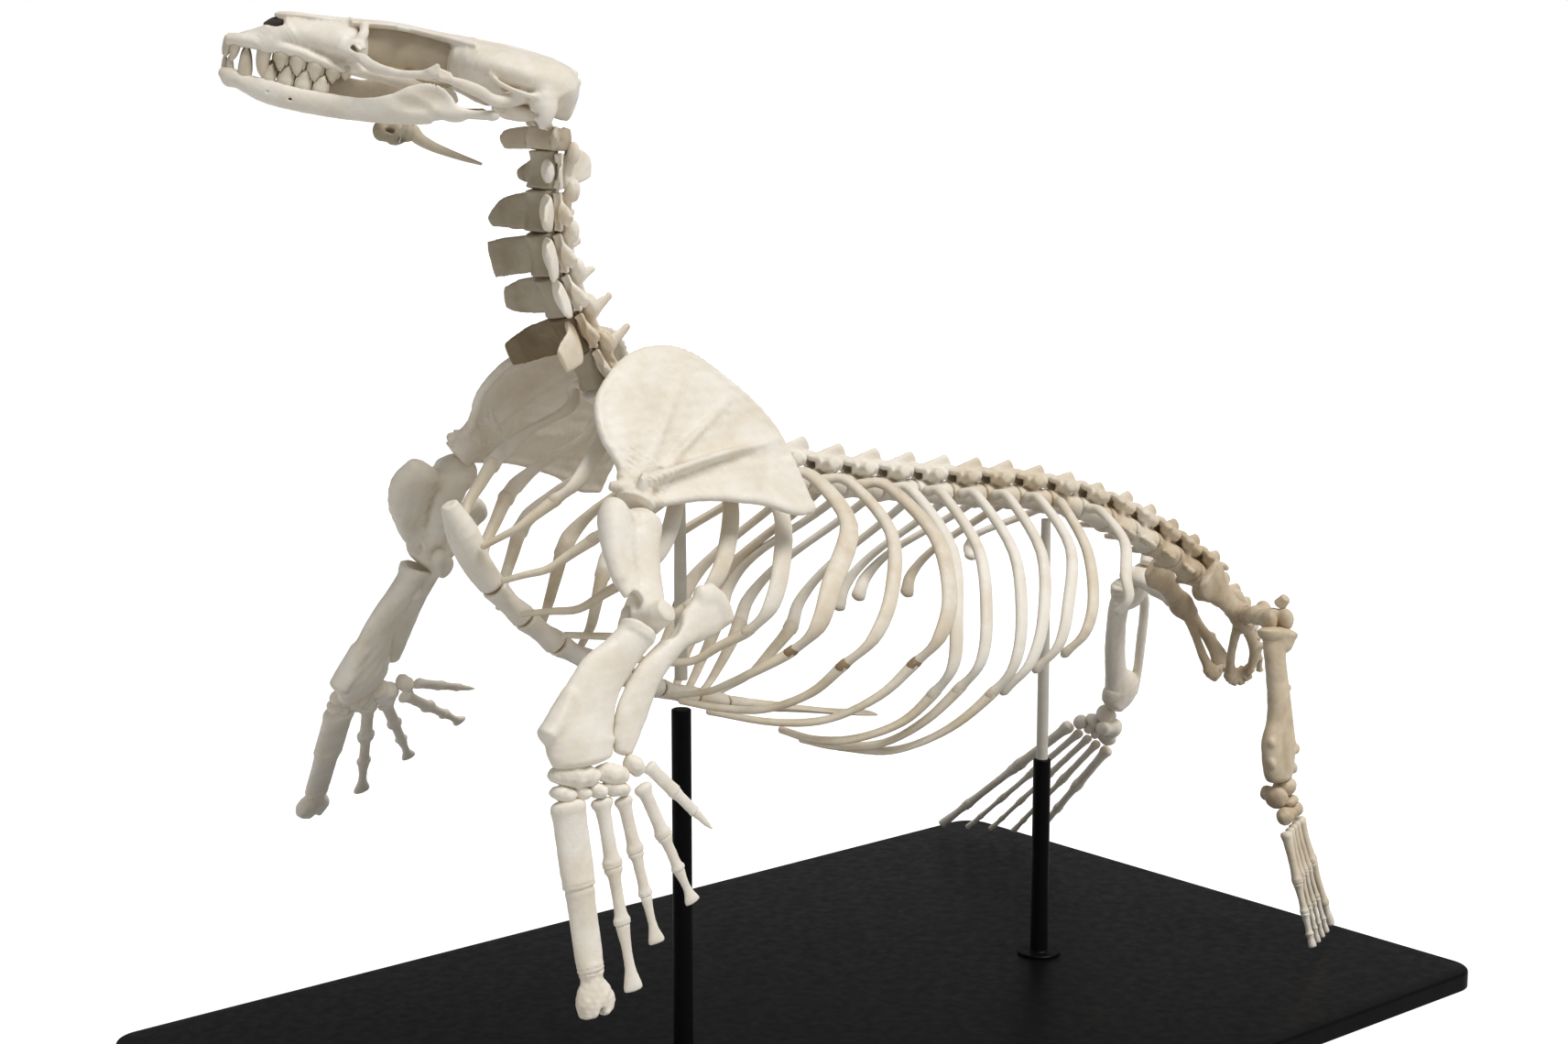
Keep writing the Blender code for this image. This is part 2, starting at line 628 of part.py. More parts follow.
def skull_rings(frame):
    """Sections of the skull: flat below, round above."""
    corners = ((1.0, 0.35), (0.78, 0.86), (0.30, 1.0), (-0.30, 1.0),
               (-0.78, 0.86), (-1.0, 0.35), (-0.90, 0.0), (0.90, 0.0))
    rings = []
    for x, wide, low, high in SKULL_ROWS:
        rings.append([frame.at(x, wide * y, low + (high - low) * z) for y, z in corners])
    return rings


def tooth(frame, x, y, z, drop, radius):
    """A tooth as a cone. A negative drop points it up."""
    root = math.copysign(0.0022, drop)
    rows = [(x, y, z + root, radius, radius),
            (x - 0.15 * abs(drop), y, z - drop, radius * 0.3, radius * 0.3)]
    return tube(frame.rows(rows), frame.axes[0], 4)


def make_skull(finish):
    frame = skull_frame()
    shapes = [skin(skull_rings(frame))]
    for side in (1, -1):
        arch = [(x, side * y, z, wide, deep) for x, y, z, wide, deep in CHEEK_ARCH]
        shapes.append(tube(frame.rows(arch), frame.axes[1], 4))
        spike = [(0.0690, side * 0.0480, 0.0100, 0.0040, 0.0016),
                 (0.0660, side * 0.0480, 0.0190, 0.0008, 0.0008)]
        brow = [(0.1000, side * 0.0120, 0.0340, 0.0080, 0.0030),
                (0.0980, side * 0.0245, 0.0365, 0.0030, 0.0015)]
        shapes.append(tube(frame.rows(spike), frame.axes[0], 4))
        shapes.append(tube(frame.rows(brow), frame.axes[0], 4))
        mastoid = [(0.0040, side * 0.0300, 0.0120, 0.0080, 0.0080),
                   (0.0040, side * 0.0360, 0.0030, 0.0065, 0.0065),
                   (0.0035, side * 0.0375, -0.0055, 0.0030, 0.0030)]
        shapes.append(tube(frame.rows(mastoid), frame.axes[0], 6))
        bulla = [(0.0100, side * 0.0210, 0.0000, 0.0050, 0.0040),
                 (0.0200, side * 0.0200, -0.0005, 0.0075, 0.0045),
                 (0.0320, side * 0.0170, 0.0030, 0.0040, 0.0035)]
        shapes.append(tube(frame.rows(bulla), frame.axes[1], 6))
        condyle = [(-0.0050, side * 0.0100, 0.0090, 0.0050, 0.0065),
                   (-0.0150, side * 0.0095, 0.0040, 0.0035, 0.0045)]
        shapes.append(tube(frame.rows(condyle), frame.axes[1], 6))
        shapes.append(tooth(frame, 0.1770, side * 0.0115, 0.0040, 0.0085, 0.0030))
        for k in range(5):
            y = side * (0.0125 + 0.0006 * k)
            shapes.append(tooth(frame, 0.1660 - 0.0085 * k, y, 0.0035, 0.0055, 0.0026))
        shapes.append(tooth(frame, 0.1850, side * 0.0055, 0.0040, 0.0055, 0.0020))
    bone("skull", shapes, finish)


JAW_ROWS = (
    # in front of the condyles, sideways, bottom, top, half-thickness
    (0.1860, 0.0050, -0.0150, -0.0060, 0.0042), (0.1740, 0.0095, -0.0200, -0.0070, 0.0042),
    (0.1580, 0.0135, -0.0232, -0.0085, 0.0040), (0.1320, 0.0195, -0.0245, -0.0105, 0.0038),
    (0.1050, 0.0265, -0.0228, -0.0085, 0.0034), (0.0850, 0.0305, -0.0185, 0.0010, 0.0028),
    (0.0680, 0.0330, -0.0125, 0.0060, 0.0024), (0.0520, 0.0340, -0.0080, 0.0020, 0.0026),
    (0.0330, 0.0350, -0.0055, 0.0005, 0.0030),
)


def make_mandible(finish):
    frame = skull_frame()
    shapes = []
    for side in (1, -1):
        rows = [(x, side * y, (low + high) / 2, (high - low) / 2, thick)
                for x, y, low, high, thick in JAW_ROWS]
        shapes.append(tube(frame.rows(rows), frame.axes[2], 5))
        condyle = [(0.0310, side * 0.0290, -0.0020, 0.0026, 0.0024),
                   (0.0300, side * 0.0410, -0.0020, 0.0026, 0.0024)]
        shapes.append(tube(frame.rows(condyle), frame.axes[0], 6))
        shapes.append(tooth(frame, 0.1815, side * 0.0085, -0.0070, -0.0080, 0.0026))
        jaw = np.array(JAW_ROWS)[::-1]
        for k in range(5):
            x = 0.1700 - 0.0085 * k
            y, top = (np.interp(x, jaw[:, 0], jaw[:, column]) for column in (1, 3))
            shapes.append(tooth(frame, x, side * y, top, -0.0040, 0.0022))
    chin = [(0.1850, -0.0075, -0.0105, 0.0040, 0.0045), (0.1850, 0.0075, -0.0105, 0.0040, 0.0045)]
    shapes.append(tube(frame.rows(chin), frame.axes[0], 6))
    bone("mandible", shapes, finish)


HYOID_WIRE = ((-0.0300, -0.0190), (-0.0280, -0.0270), (0.0280, -0.0270), (0.0300, -0.0190))


def make_hyoid(finish):
    """The tongue bone, with a slender horn on each side, hung from the jaw by a wire."""
    frame = skull_frame()
    block = [(0.0815, -0.0120, -0.0285, 0.0070, 0.0048), (0.0830, 0, -0.0290, 0.0085, 0.0050),
             (0.0815, 0.0120, -0.0285, 0.0070, 0.0048)]
    shapes = [tube(frame.rows(block), frame.axes[0], 6)]
    wire = [(0.0820, y, z, 0.0010, 0.0010) for y, z in HYOID_WIRE]
    shapes.append(tube(frame.rows(wire), frame.axes[0], 4))
    for side in (1, -1):
        horn = [(0.0800, side * 0.0105, -0.0280, 0.0036, 0.0030),
                (0.0600, side * 0.0140, -0.0310, 0.0028, 0.0022),
                (0.0300, side * 0.0165, -0.0320, 0.0010, 0.0010)]
        shapes.append(tube(frame.rows(horn), frame.axes[2], 5))
    bone("hyoid", shapes, finish)


# ---- Limbs ----


def limb_frame(side, start, end, outward):
    """Axes along the bone, towards the head end of the animal, and outwards."""
    along = unit(np.subtract(end, start))
    out = square_to(outward, along)
    forward = -SIDES[side] * np.cross(along, out)
    return Frame(start, along, forward, out)


def outward_of(side, down=0.0, front=0.0):
    """A direction away from the middle plane, leaning down and to the front."""
    return (-front, SIDES[side], -down)


SCAPULA_UP = {"left": (0.598, 0.410, 0.688), "right": (0.714, 0.276, 0.658)}
SCAPULA_REAR = (0.801, -0.341, -0.493)
SCAPULA_LEAN = {"left": 0, "right": 3}
# Rows across the shoulder blade from the socket to the upper border: each row has its points as
# (towards the rear, up) from the front border to the rear one.
SCAPULA_ROWS = (
    ((-0.0090, 0.0045), (-0.0040, 0.0042), (0.0020, 0.0040), (0.0070, 0.0042), (0.0110, 0.0045)),
    ((-0.0135, 0.0190), (-0.0055, 0.0200), (0.0020, 0.0190), (0.0120, 0.0150), (0.0200, 0.0110)),
    ((-0.0290, 0.0335), (-0.0100, 0.0420), (0.0080, 0.0420), (0.0280, 0.0350), (0.0450, 0.0290)),
    ((-0.0365, 0.0560), (-0.0180, 0.0720), (0.0150, 0.0750), (0.0480, 0.0640), (0.0820, 0.0480)),
    ((-0.0300, 0.0820), (-0.0120, 0.1060), (0.0240, 0.1060), (0.0640, 0.0900), (0.1060, 0.0550)),
    ((-0.0200, 0.0985), (0.0060, 0.1215), (0.0400, 0.1205), (0.0820, 0.1060), (0.1180, 0.0650)),
)


def scapula_frame(side):
    mirror = (1, -SIDES[side], 1)
    up = unit(np.multiply(SCAPULA_UP[side], mirror))
    rear = square_to(np.multiply(SCAPULA_REAR, mirror), up)
    lean = math.radians(SCAPULA_LEAN[side])
    up, rear = up * math.cos(lean) + rear * math.sin(lean), rear * math.cos(lean) - up * math.sin(lean)
    out = SIDES[side] * np.cross(up, rear)
    return Frame(JOINTS[side]["glenoid"], rear, up, out)


def make_scapula(side, finish):
    """A broad thin fan with a long low ridge and a thick neck."""
    frame = scapula_frame(side)
    wave = (0.0, -0.0020, 0.0010, -0.0015, 0.0)
    grid = []
    for i, row in enumerate(SCAPULA_ROWS):
        bulge = 0.0025 * max(0, i - 2)
        ripple = min(1, i / 2)
        grid.append([frame.at(*place, wave[k] * ripple - bulge) for k, place in enumerate(row)])
    shapes = [plate(grid, frame.axes[2], 0.0032)]
    neck = [(0.0015, 0.0005, 0, 0.0120, 0.0085), (0.0010, 0.0100, 0, 0.0108, 0.0062),
            (0.0020, 0.0260, 0, 0.0100, 0.0030)]
    shapes.append(tube(frame.rows(neck), frame.axes[0], 8))
    ridge = [(0.0080, 0.0150, 0.0030, 0.0075, 0.0022), (0.0280, 0.0330, 0.0030, 0.0065, 0.0018),
             (0.0540, 0.0600, 0.0000, 0.0050, 0.0015), (0.0740, 0.0830, -0.0040, 0.0040, 0.0012)]
    shapes.append(tube(frame.rows(ridge), frame.axes[2], 4))
    hook = [(-0.0040, 0.0060, 0.0030, 0.0050, 0.0045), (-0.0150, 0.0040, 0.0010, 0.0035, 0.0035)]
    shapes.append(tube(frame.rows(hook), frame.axes[2], 5))
    bone("scapula_" + side, shapes, finish)


HUMERUS_ROWS = (
    # along, forward, outward, half-width, half-thickness
    (0.0000, 0.0000, 0.0000, 0.0090, 0.0090), (0.0050, 0.0030, 0.0000, 0.0160, 0.0135),
    (0.0140, 0.0065, 0.0000, 0.0195, 0.0120), (0.0280, 0.0080, 0.0005, 0.0185, 0.0100),
    (0.0420, 0.0060, 0.0005, 0.0165, 0.0088), (0.0530, 0.0010, 0.0000, 0.0120, 0.0085),
    (0.0610, -0.0010, 0.0000, 0.0120, 0.0115), (0.0680, 0.0000, 0.0000, 0.0110, 0.0150),
)
ELBOW_GAP = 0.0030
CREST_REACH = {"left": 1.0, "right": 1.4}
CREST_LENGTH = 0.060


def make_humerus(side, finish):
    joints = JOINTS[side]
    start, end = np.array(joints["shoulder"]), np.array(joints["elbow"])
    frame = limb_frame(side, start, end, outward_of(side))
    stretch = (np.linalg.norm(end - start) - ELBOW_GAP) / HUMERUS_ROWS[-1][0]
    reach = CREST_REACH[side]
    rows = []
    for along, ahead, out, half, thick in HUMERUS_ROWS:
        fuller = 1 + (reach - 1) * max(0, 1 - along / CREST_LENGTH)
        rows.append((along * stretch, ahead * fuller, out, half * math.sqrt(fuller), thick))
    shapes = [tube(frame.rows(rows), frame.axes[1], 8)]
    knob = [(-0.0020, 0.0140 * reach, 0.0020, 0.0070 * reach, 0.0080),
            (0.0080, 0.0190 * reach, 0.0030, 0.0085 * reach, 0.0090),
            (0.0260, 0.0210 * reach, 0.0020, 0.0050 * reach, 0.0060)]
    shapes.append(tube(frame.rows(knob), frame.axes[1], 6))
    bone("humerus_" + side, shapes, finish)


RADIUS_ROWS = (
    (0.0050, 0.0095, 0.0000, 0.0110, 0.0090), (0.0130, 0.0115, 0.0000, 0.0112, 0.0075),
    (0.0260, 0.0154, 0.0000, 0.0126, 0.0066), (0.0400, 0.0196, 0.0000, 0.0154, 0.0062),
    (0.0520, 0.0202, 0.0000, 0.0173, 0.0064), (0.0640, 0.0184, 0.0000, 0.0200, 0.0068),
    (0.0770, 0.0158, 0.0000, 0.0235, 0.0082), (0.0866, 0.0085, 0.0000, 0.0208, 0.0080),
)
ULNA_ROWS = (
    (-0.0410, -0.0330, 0.0010, 0.0135, 0.0042), (-0.0295, -0.0280, 0.0010, 0.0135, 0.0048),
    (-0.0170, -0.0218, 0.0010, 0.0104, 0.0055), (-0.0030, -0.0158, 0.0010, 0.0070, 0.0060),
    (0.0220, -0.0084, 0.0010, 0.0088, 0.0056), (0.0455, -0.0082, 0.0010, 0.0105, 0.0050),
    (0.0600, -0.0108, 0.0010, 0.0088, 0.0048), (0.0690, -0.0135, 0.0010, 0.0062, 0.0044),
)


FOREARM_TURN = {"left": 0.3, "right": 0.5}  # how far the outer side faces the front


def make_forearm(side, finish):
    joints = JOINTS[side]
    frame = limb_frame(side, joints["elbow"], joints["wrist"], outward_of(side, 0.2, FOREARM_TURN[side]))
    for name, rows, sides in (("radius_", RADIUS_ROWS, 8), ("ulna_", ULNA_ROWS, 6)):
        bone(name + side, [tube(frame.rows(rows), frame.axes[1], sides)], finish)


CARPUS_ROWS = (
    (-0.0035, -0.0045, 0.0000, 0.0235, 0.0066), (0.0010, -0.0045, 0.0000, 0.0285, 0.0078),
    (0.0080, -0.0040, 0.0000, 0.0275, 0.0064), (0.0165, -0.0035, 0.0000, 0.0235, 0.0060),
)
# Each finger: where it starts along and across the hand, its length and its half-width.
FINGERS = (
    (0.0166, 0.0150, 0.1250, 0.0116), (0.0174, -0.0063, 0.1120, 0.0072),
    (0.0178, -0.0200, 0.0870, 0.0062), (0.0110, -0.0325, 0.0770, 0.0062),
    (-0.0010, -0.0370, 0.0580, 0.0050),
)
FINGER_LEAN = {"left": (7, 9, 13, 24, 45), "right": (7, 15, 29, 50, 66)}  # degrees to the rear
FINGER_SIDES = 4
HAND_SHIFT = {"left": -0.0015, "right": 0.0050}


def finger_rows(across, length, half, angle, thick, start):
    """A finger of three bones end to end, as rows along, forward, outward, half-width, half-thickness."""
    lean = math.radians(angle)
    rows = []
    marks = ((0.0, 0.90), (0.06, 0.95), (0.22, 0.72), (0.44, 0.88), (0.60, 0.66), (0.78, 0.80), (1.0, 0.58))
    for part, fuller in marks:
        reach = length * part
        clear = half * abs(math.sin(lean))
        place = (start + clear + reach * math.cos(lean), across - reach * math.sin(lean), 0)
        taper = 1 - 0.15 * part
        rows.append((*place, half * fuller * taper, thick * fuller * taper))
    return rows


def hand_frame(side):
    joints = JOINTS[side]
    wrist, tip = np.array(joints["wrist"]), np.array(joints["finger"])
    along = unit(tip - wrist)
    wrist = wrist + along * HAND_SHIFT[side]
    if side == "left":
        forward = square_to((-0.988, 0.151, 0.034), along)
    else:
        forward = square_to((-0.900, 0.250, -0.260), along)
    return Frame(wrist, along, forward, np.cross(along, forward))


def make_hand(side, finish):
    frame = hand_frame(side)
    bone("carpus_" + side, [tube(frame.rows(CARPUS_ROWS), frame.axes[1], 8)], finish)
    for i, (start, across, length, half) in enumerate(FINGERS):
        rows = finger_rows(across, length, half, FINGER_LEAN[side][i], half * 0.62, start)
        bone(f"finger_{i + 1}_{side}", [tube(frame.rows(rows), frame.axes[1], FINGER_SIDES)], finish)


def make_pelvis(side, finish):
    """Half of the pelvis: blade, hip socket, and the two bars round the opening below it."""
    sign = SIDES[side]
    hip = np.array(JOINTS[side]["hip"])
    frame = Frame(hip, (1, 0, 0), (0, sign, 0), (0, 0, 1))
    blade = [(-0.0330, -0.0060, 0.0330, 0.0150, 0.0030), (-0.0200, -0.0070, 0.0200, 0.0100, 0.0040),
             (-0.0070, -0.0050, 0.0060, 0.0075, 0.0060), (0.0040, -0.0040, -0.0030, 0.0095, 0.0085),
             (0.0120, -0.0050, -0.0110, 0.0070, 0.0055)]
    front_bar = [(0.0040, -0.0060, -0.0050, 0.0050, 0.0040), (0.0080, -0.0160, -0.0290, 0.0040, 0.0030),
                 (0.0170, -0.0225, -0.0535, 0.0050, 0.0024)]
    rear_bar = [(0.0110, -0.0060, -0.0100, 0.0055, 0.0040), (0.0290, -0.0110, -0.0330, 0.0048, 0.0032),
                (0.0330, -0.0180, -0.0480, 0.0080, 0.0032), (0.0230, -0.0235, -0.0560, 0.0070, 0.0030),
                (0.0120, -0.0230, -0.0490, 0.0050, 0.0034)]
    shapes = [tube(frame.rows(rear_bar), (0.7, 0, 0.7), 6), tube(frame.rows(front_bar), (1, 0, 0), 6),
              tube(frame.rows(blade), (0.7, 0, 0.7), 6)]
    bone("pelvis_" + side, shapes, finish)


TIBIA_ROWS = {
    "left": ((0.0110, 0.0020, 0, 0.0205, 0.0100), (0.0150, 0.0026, 0, 0.0165, 0.0085),
             (0.0215, 0.0055, 0, 0.0112, 0.0068), (0.0330, 0.0050, 0, 0.0094, 0.0066),
             (0.0567, 0.0020, 0, 0.0100, 0.0072), (0.0750, 0.0012, 0, 0.0120, 0.0080),
             (0.0910, 0.0030, 0, 0.0165, 0.0092), (0.1080, 0.0040, 0, 0.0145, 0.0088),
             (0.1160, 0.0035, 0, 0.0120, 0.0080)),
    "right": ((0.0115, 0.0000, 0, 0.0205, 0.0105), (0.0170, 0.0006, 0, 0.0185, 0.0095),
              (0.0290, 0.0105, 0, 0.0105, 0.0062), (0.0600, 0.0095, 0, 0.0100, 0.0058),
              (0.0885, 0.0035, 0, 0.0108, 0.0065), (0.1020, -0.0030, 0, 0.0180, 0.0085),
              (0.1075, -0.0035, 0, 0.0185, 0.0085), (0.1165, 0.0020, 0, 0.0105, 0.0080)),
}
FIBULA_ROWS = {
    "left": ((0.0160, -0.0045, -0.0060, 0.0048, 0.0048), (0.0400, -0.0045, -0.0095, 0.0030, 0.0030),
             (0.0860, -0.0060, -0.0098, 0.0034, 0.0030), (0.1070, -0.0035, -0.0065, 0.0060, 0.0050)),
    "right": ((0.0160, -0.0125, 0, 0.0048, 0.0048), (0.0340, -0.0205, 0, 0.0040, 0.0036),
              (0.0650, -0.0220, 0, 0.0042, 0.0036), (0.0920, -0.0225, 0, 0.0040, 0.0036),
              (0.1100, -0.0190, 0, 0.0052, 0.0048)),
}


def make_hind_limb(side, finish):
    joints = {name: np.array(place) for name, place in JOINTS[side].items()}
    hip, knee, ankle = joints["hip"], joints["knee"], joints["ankle"]
    frame = limb_frame(side, hip, knee, (0, 0, 1))
    length = np.linalg.norm(knee - hip)
    rows = [(0.0050, 0, 0, 0.0050, 0.0050), (0.0110, 0, 0, 0.0068, 0.0068),
            (0.0180, 0, 0.0010, 0.0090, 0.0080),
            (length * 0.55, 0, 0, 0.0085, 0.0058), (length - 0.0120, 0, 0, 0.0125, 0.0078),
            (length - 0.0030, 0, -0.0010, 0.0125, 0.0080), (length + 0.0030, 0, -0.0010, 0.0070, 0.0050)]
    cap = [(length - 0.0060, -0.0060, 0.0060, 0.0060, 0.0050),
           (length - 0.0020, -0.0080, 0.0140, 0.0040, 0.0040)]
    shapes = [tube(frame.rows(rows), frame.axes[1], 6), tube(frame.rows(cap), frame.axes[1], 5)]
    bone("femur_" + side, shapes, finish)

    frame = limb_frame(side, knee, ankle, outward_of(side))
    shapes = [tube(frame.rows(TIBIA_ROWS[side]), frame.axes[1], 8),
              tube(frame.rows(FIBULA_ROWS[side]), frame.axes[1], 5)]
    bone("shin_" + side, shapes, finish)


# Each toe: where it starts across the foot, its half-width and its lean.
TOES = ((0.0190, 0.0058, 5), (0.0086, 0.0041, 2.5), (0.0, 0.0039, 0),
        (-0.0085, 0.0041, -3), (-0.0187, 0.0055, -6))
FOOT_SHIFT = {"left": -0.0034, "right": 0.0}
TOE_CLEARANCE = 0.0022  # from the board to the middle of a toe's tip


def foot_frame(side):
    joints = JOINTS[side]
    ankle, tip = np.array(joints["ankle"]), np.array(joints["toe"])
    along = unit(tip - ankle)
    ankle = ankle + along * FOOT_SHIFT[side]
    across = square_to((0.917, 0.398, 0.0) if side == "left" else (-0.685, 0.503, 0.524), along)
    return Frame(ankle, along, across, np.cross(along, across))


def make_foot(side, finish):
    """The ankle, and the toes down to the board."""
    frame = foot_frame(side)
    rows = [(-0.0010, 0, 0, 0.0085, 0.0080), (0.0050, 0, 0, 0.0125, 0.0100), (0.0140, 0, 0, 0.0140, 0.0080),
            (0.0240, 0, 0, 0.0190, 0.0070), (0.0330, 0, 0, 0.0210, 0.0058)]
    heel = [(0.0090, 0, 0, 0.0070, 0.0070), (0.0060, 0.0060, -0.0140, 0.0060, 0.0060)]
    shapes = [tube(frame.rows(rows), frame.axes[1], 8), tube(frame.rows(heel), frame.axes[1], 6)]
    bone("ankle_" + side, shapes, finish)
    start = rows[-1][0] + GAP + 0.0003
    for i, (across, half, angle) in enumerate(TOES):
        lean = math.radians(-angle)
        down = frame.axes[0][2] * math.cos(lean) - frame.axes[1][2] * math.sin(lean)
        reach = (BASE_SIZE[2] + TOE_CLEARANCE - frame.at(start, across, 0)[2]) / down
        place = finger_rows(across, reach - half, half, -angle, half * 0.8, start)
        bone(f"toe_{i + 1}_{side}", [tube(frame.rows(place), frame.axes[1], FINGER_SIDES)], finish)


def main():
    clear_scene()
    pale = material("pale_bone", BONE_COLOUR, 0.55)
    brown = material("brown_bone", BROWN_BONE_COLOUR, 0.6)
    black = material("black_paint", STAND_COLOUR, 0.35)
    pin_paint = material("pin_paint", PIN_COLOUR, 0.4)
    make_base(black)
    make_rods(black, pin_paint)
    make_skull(pale)
    make_mandible(pale)
    make_hyoid(pale)
    spine = Spine()
    s = make_neck(spine, pale, brown)
    s = make_rib_cage(spine, s, pale)
    make_sternum(pale)
    s = make_lumbar(spine, s, brown)
    s = make_sacrum(spine, s, brown)
    make_tail(spine, s, brown)
    for side in SIDES:
        make_scapula(side, pale)
        make_humerus(side, pale)
        make_forearm(side, pale)
        make_hand(side, pale)
        make_pelvis(side, brown)
        make_hind_limb(side, brown if side == "left" else pale)
        make_foot(side, brown if side == "left" else pale)


main()
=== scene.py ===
"""Looks of the mounted sea lion skeleton: each bone drawn in full, its stand, a pale floor and soft light."""

import json
import math

import bpy
import mathutils
import numpy as np
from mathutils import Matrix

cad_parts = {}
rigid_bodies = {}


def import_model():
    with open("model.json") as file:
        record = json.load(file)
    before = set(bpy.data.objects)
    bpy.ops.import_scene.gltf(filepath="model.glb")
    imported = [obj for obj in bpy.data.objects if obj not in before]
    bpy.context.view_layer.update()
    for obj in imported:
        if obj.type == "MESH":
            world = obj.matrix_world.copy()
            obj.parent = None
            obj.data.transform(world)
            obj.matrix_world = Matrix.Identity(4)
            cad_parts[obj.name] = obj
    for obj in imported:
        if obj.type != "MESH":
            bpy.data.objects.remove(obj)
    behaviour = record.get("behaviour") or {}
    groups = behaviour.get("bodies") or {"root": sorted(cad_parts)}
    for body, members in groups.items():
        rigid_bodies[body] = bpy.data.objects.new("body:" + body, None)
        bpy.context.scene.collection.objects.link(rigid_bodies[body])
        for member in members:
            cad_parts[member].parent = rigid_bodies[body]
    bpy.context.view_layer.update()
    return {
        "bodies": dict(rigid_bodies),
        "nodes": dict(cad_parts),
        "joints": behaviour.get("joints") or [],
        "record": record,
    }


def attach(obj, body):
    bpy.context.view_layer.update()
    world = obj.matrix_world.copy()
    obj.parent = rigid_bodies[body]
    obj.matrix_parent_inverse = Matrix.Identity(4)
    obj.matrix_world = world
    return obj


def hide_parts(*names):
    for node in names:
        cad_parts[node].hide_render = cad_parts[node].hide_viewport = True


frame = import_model()


def mm(*rows, side=1):
    """Rows given in millimetres as rows in metres, with the second value on the given side."""
    found = []
    for first, second, *others in rows:
        found.append(tuple(round(value / 1000, 7) for value in (first, side * second, *others)))
    return found


# ---- Sizes, in metres, as the frame has them ----

BASE_HEIGHT = 0.013
BASE_CORNER = 0.022
GAP = 0.0003
MID_Y = -0.0275  # the plane of symmetry of the trunk
SIDES = {"left": -1, "right": 1}
SKULL_PLACE = (-0.2419, MID_Y, 0.6205)
SKULL_YAW = math.radians(30)
SKULL_PITCH = math.radians(11.8)

CELL = 0.001  # grid spacing of a bone
FINE_CELL = 0.0007  # grid spacing of the head's bones

# X and z of the middle of the spine, from the skull to the tail.
SPINE_LINE = mm(
    (-242, 618.5), (-244, 595), (-246.5, 564), (-243.5, 537), (-233, 508), (-218, 479), (-196, 447),
    (-154, 418.8), (-95, 398.5), (-6, 378.7), (90, 363.1), (157.6, 353.4), (221.8, 338.6), (279.4, 315.3),
    (328.1, 289.6), (374.4, 260.7), (407.8, 237.7), (428, 214), (437, 185),
)
NECK_START = 0.0015  # along the spine line, where the first neck bone begins
NECK_LENGTHS = (0.014, 0.023, 0.025, 0.026, 0.0258, 0.0258, 0.0252)
THORAX_COUNT = 15
LUMBAR_COUNT = 5
LUMBAR_LENGTH = 0.028
SACRUM_LENGTH = 0.052
TAIL_COUNT = 5
TAIL_LENGTH = 0.05

# The centres of the joints, and the tips of the longest finger and toe.
JOINTS = {
    "left": {
        "glenoid": (-0.2345, -0.0985, 0.4008),
        "shoulder": (-0.24, -0.105, 0.392),
        "elbow": (-0.257, -0.145, 0.333),
        "wrist": (-0.3133, -0.16, 0.2649),
        "finger": (-0.32, -0.172, 0.1256),
        "hip": (0.373, -0.0605, 0.245),
        "knee": (0.356, -0.108, 0.252),
        "ankle": (0.344, -0.125, 0.131),
        "toe": (0.36, -0.156, 0.015),
    },
    "right": {
        "glenoid": (-0.264, 0.04, 0.417),
        "shoulder": (-0.264, 0.048, 0.407),
        "elbow": (-0.256, 0.088, 0.3405),
        "wrist": (-0.283, 0.115, 0.26),
        "finger": (-0.272, 0.208, 0.159),
        "hip": (0.373, 0.0055, 0.245),
        "knee": (0.377, 0.054, 0.262),
        "ankle": (0.388, 0.08, 0.14),
        "toe": (0.378, 0.209, 0.0165),
    },
}


# ---- Vectors, frames and curves ----


def unit(vector):
    """The vector at length one."""
    vector = np.asarray(vector, float)
    return vector / np.linalg.norm(vector)


def square_to(vector, axis):
    """The unit vector nearest to `vector` that is square to `axis`."""
    axis = unit(axis)
    vector = np.asarray(vector, float)
    return unit(vector - axis * (vector @ axis))


class Frame:
    """A place with three axes, in which a bone is drawn before it is put in its place."""

    def __init__(self, origin, *axes):
        self.origin = np.asarray(origin, float)
        self.axes = np.array(axes, float)

    def at(self, *place):
        return self.origin + np.asarray(place, float) @ self.axes

    def world(self, points):
        return self.origin + points @ self.axes

    def rows(self, rows):
        """Tube rows in this frame as rows in the world."""
        return [(*self.at(*row[:3]), *row[3:]) for row in rows]


# Directions in a bone's frame along which its tubes are wide. The spine's third axis is sideways.
FORE_AFT = (1, 0, 0)
ACROSS = (0, 1, 0)
UPWARD = (0, 0, 1)
SIDEWAYS = UPWARD
WORLD = Frame((0, 0, 0), FORE_AFT, ACROSS, UPWARD)


def curve(rows, steps):
    """A smooth curve through the rows, with this many steps from one row to the next."""
    rows = np.asarray(rows, float)
    if steps < 2 or len(rows) < 3:
        return rows
    ends = np.vstack([2 * rows[0] - rows[1], rows, 2 * rows[-1] - rows[-2]])
    found = []
    for before, a, b, after in zip(ends, ends[1:], ends[2:], ends[3:]):
        for t in np.arange(steps) / steps:
            bend = (2 * before - 5 * a + 4 * b - after) * t**2
            turn = (3 * a - before - 3 * b + after) * t**3
            found.append(0.5 * (2 * a + (b - before) * t + bend + turn))
    found.append(rows[-1])
    return np.array(found)


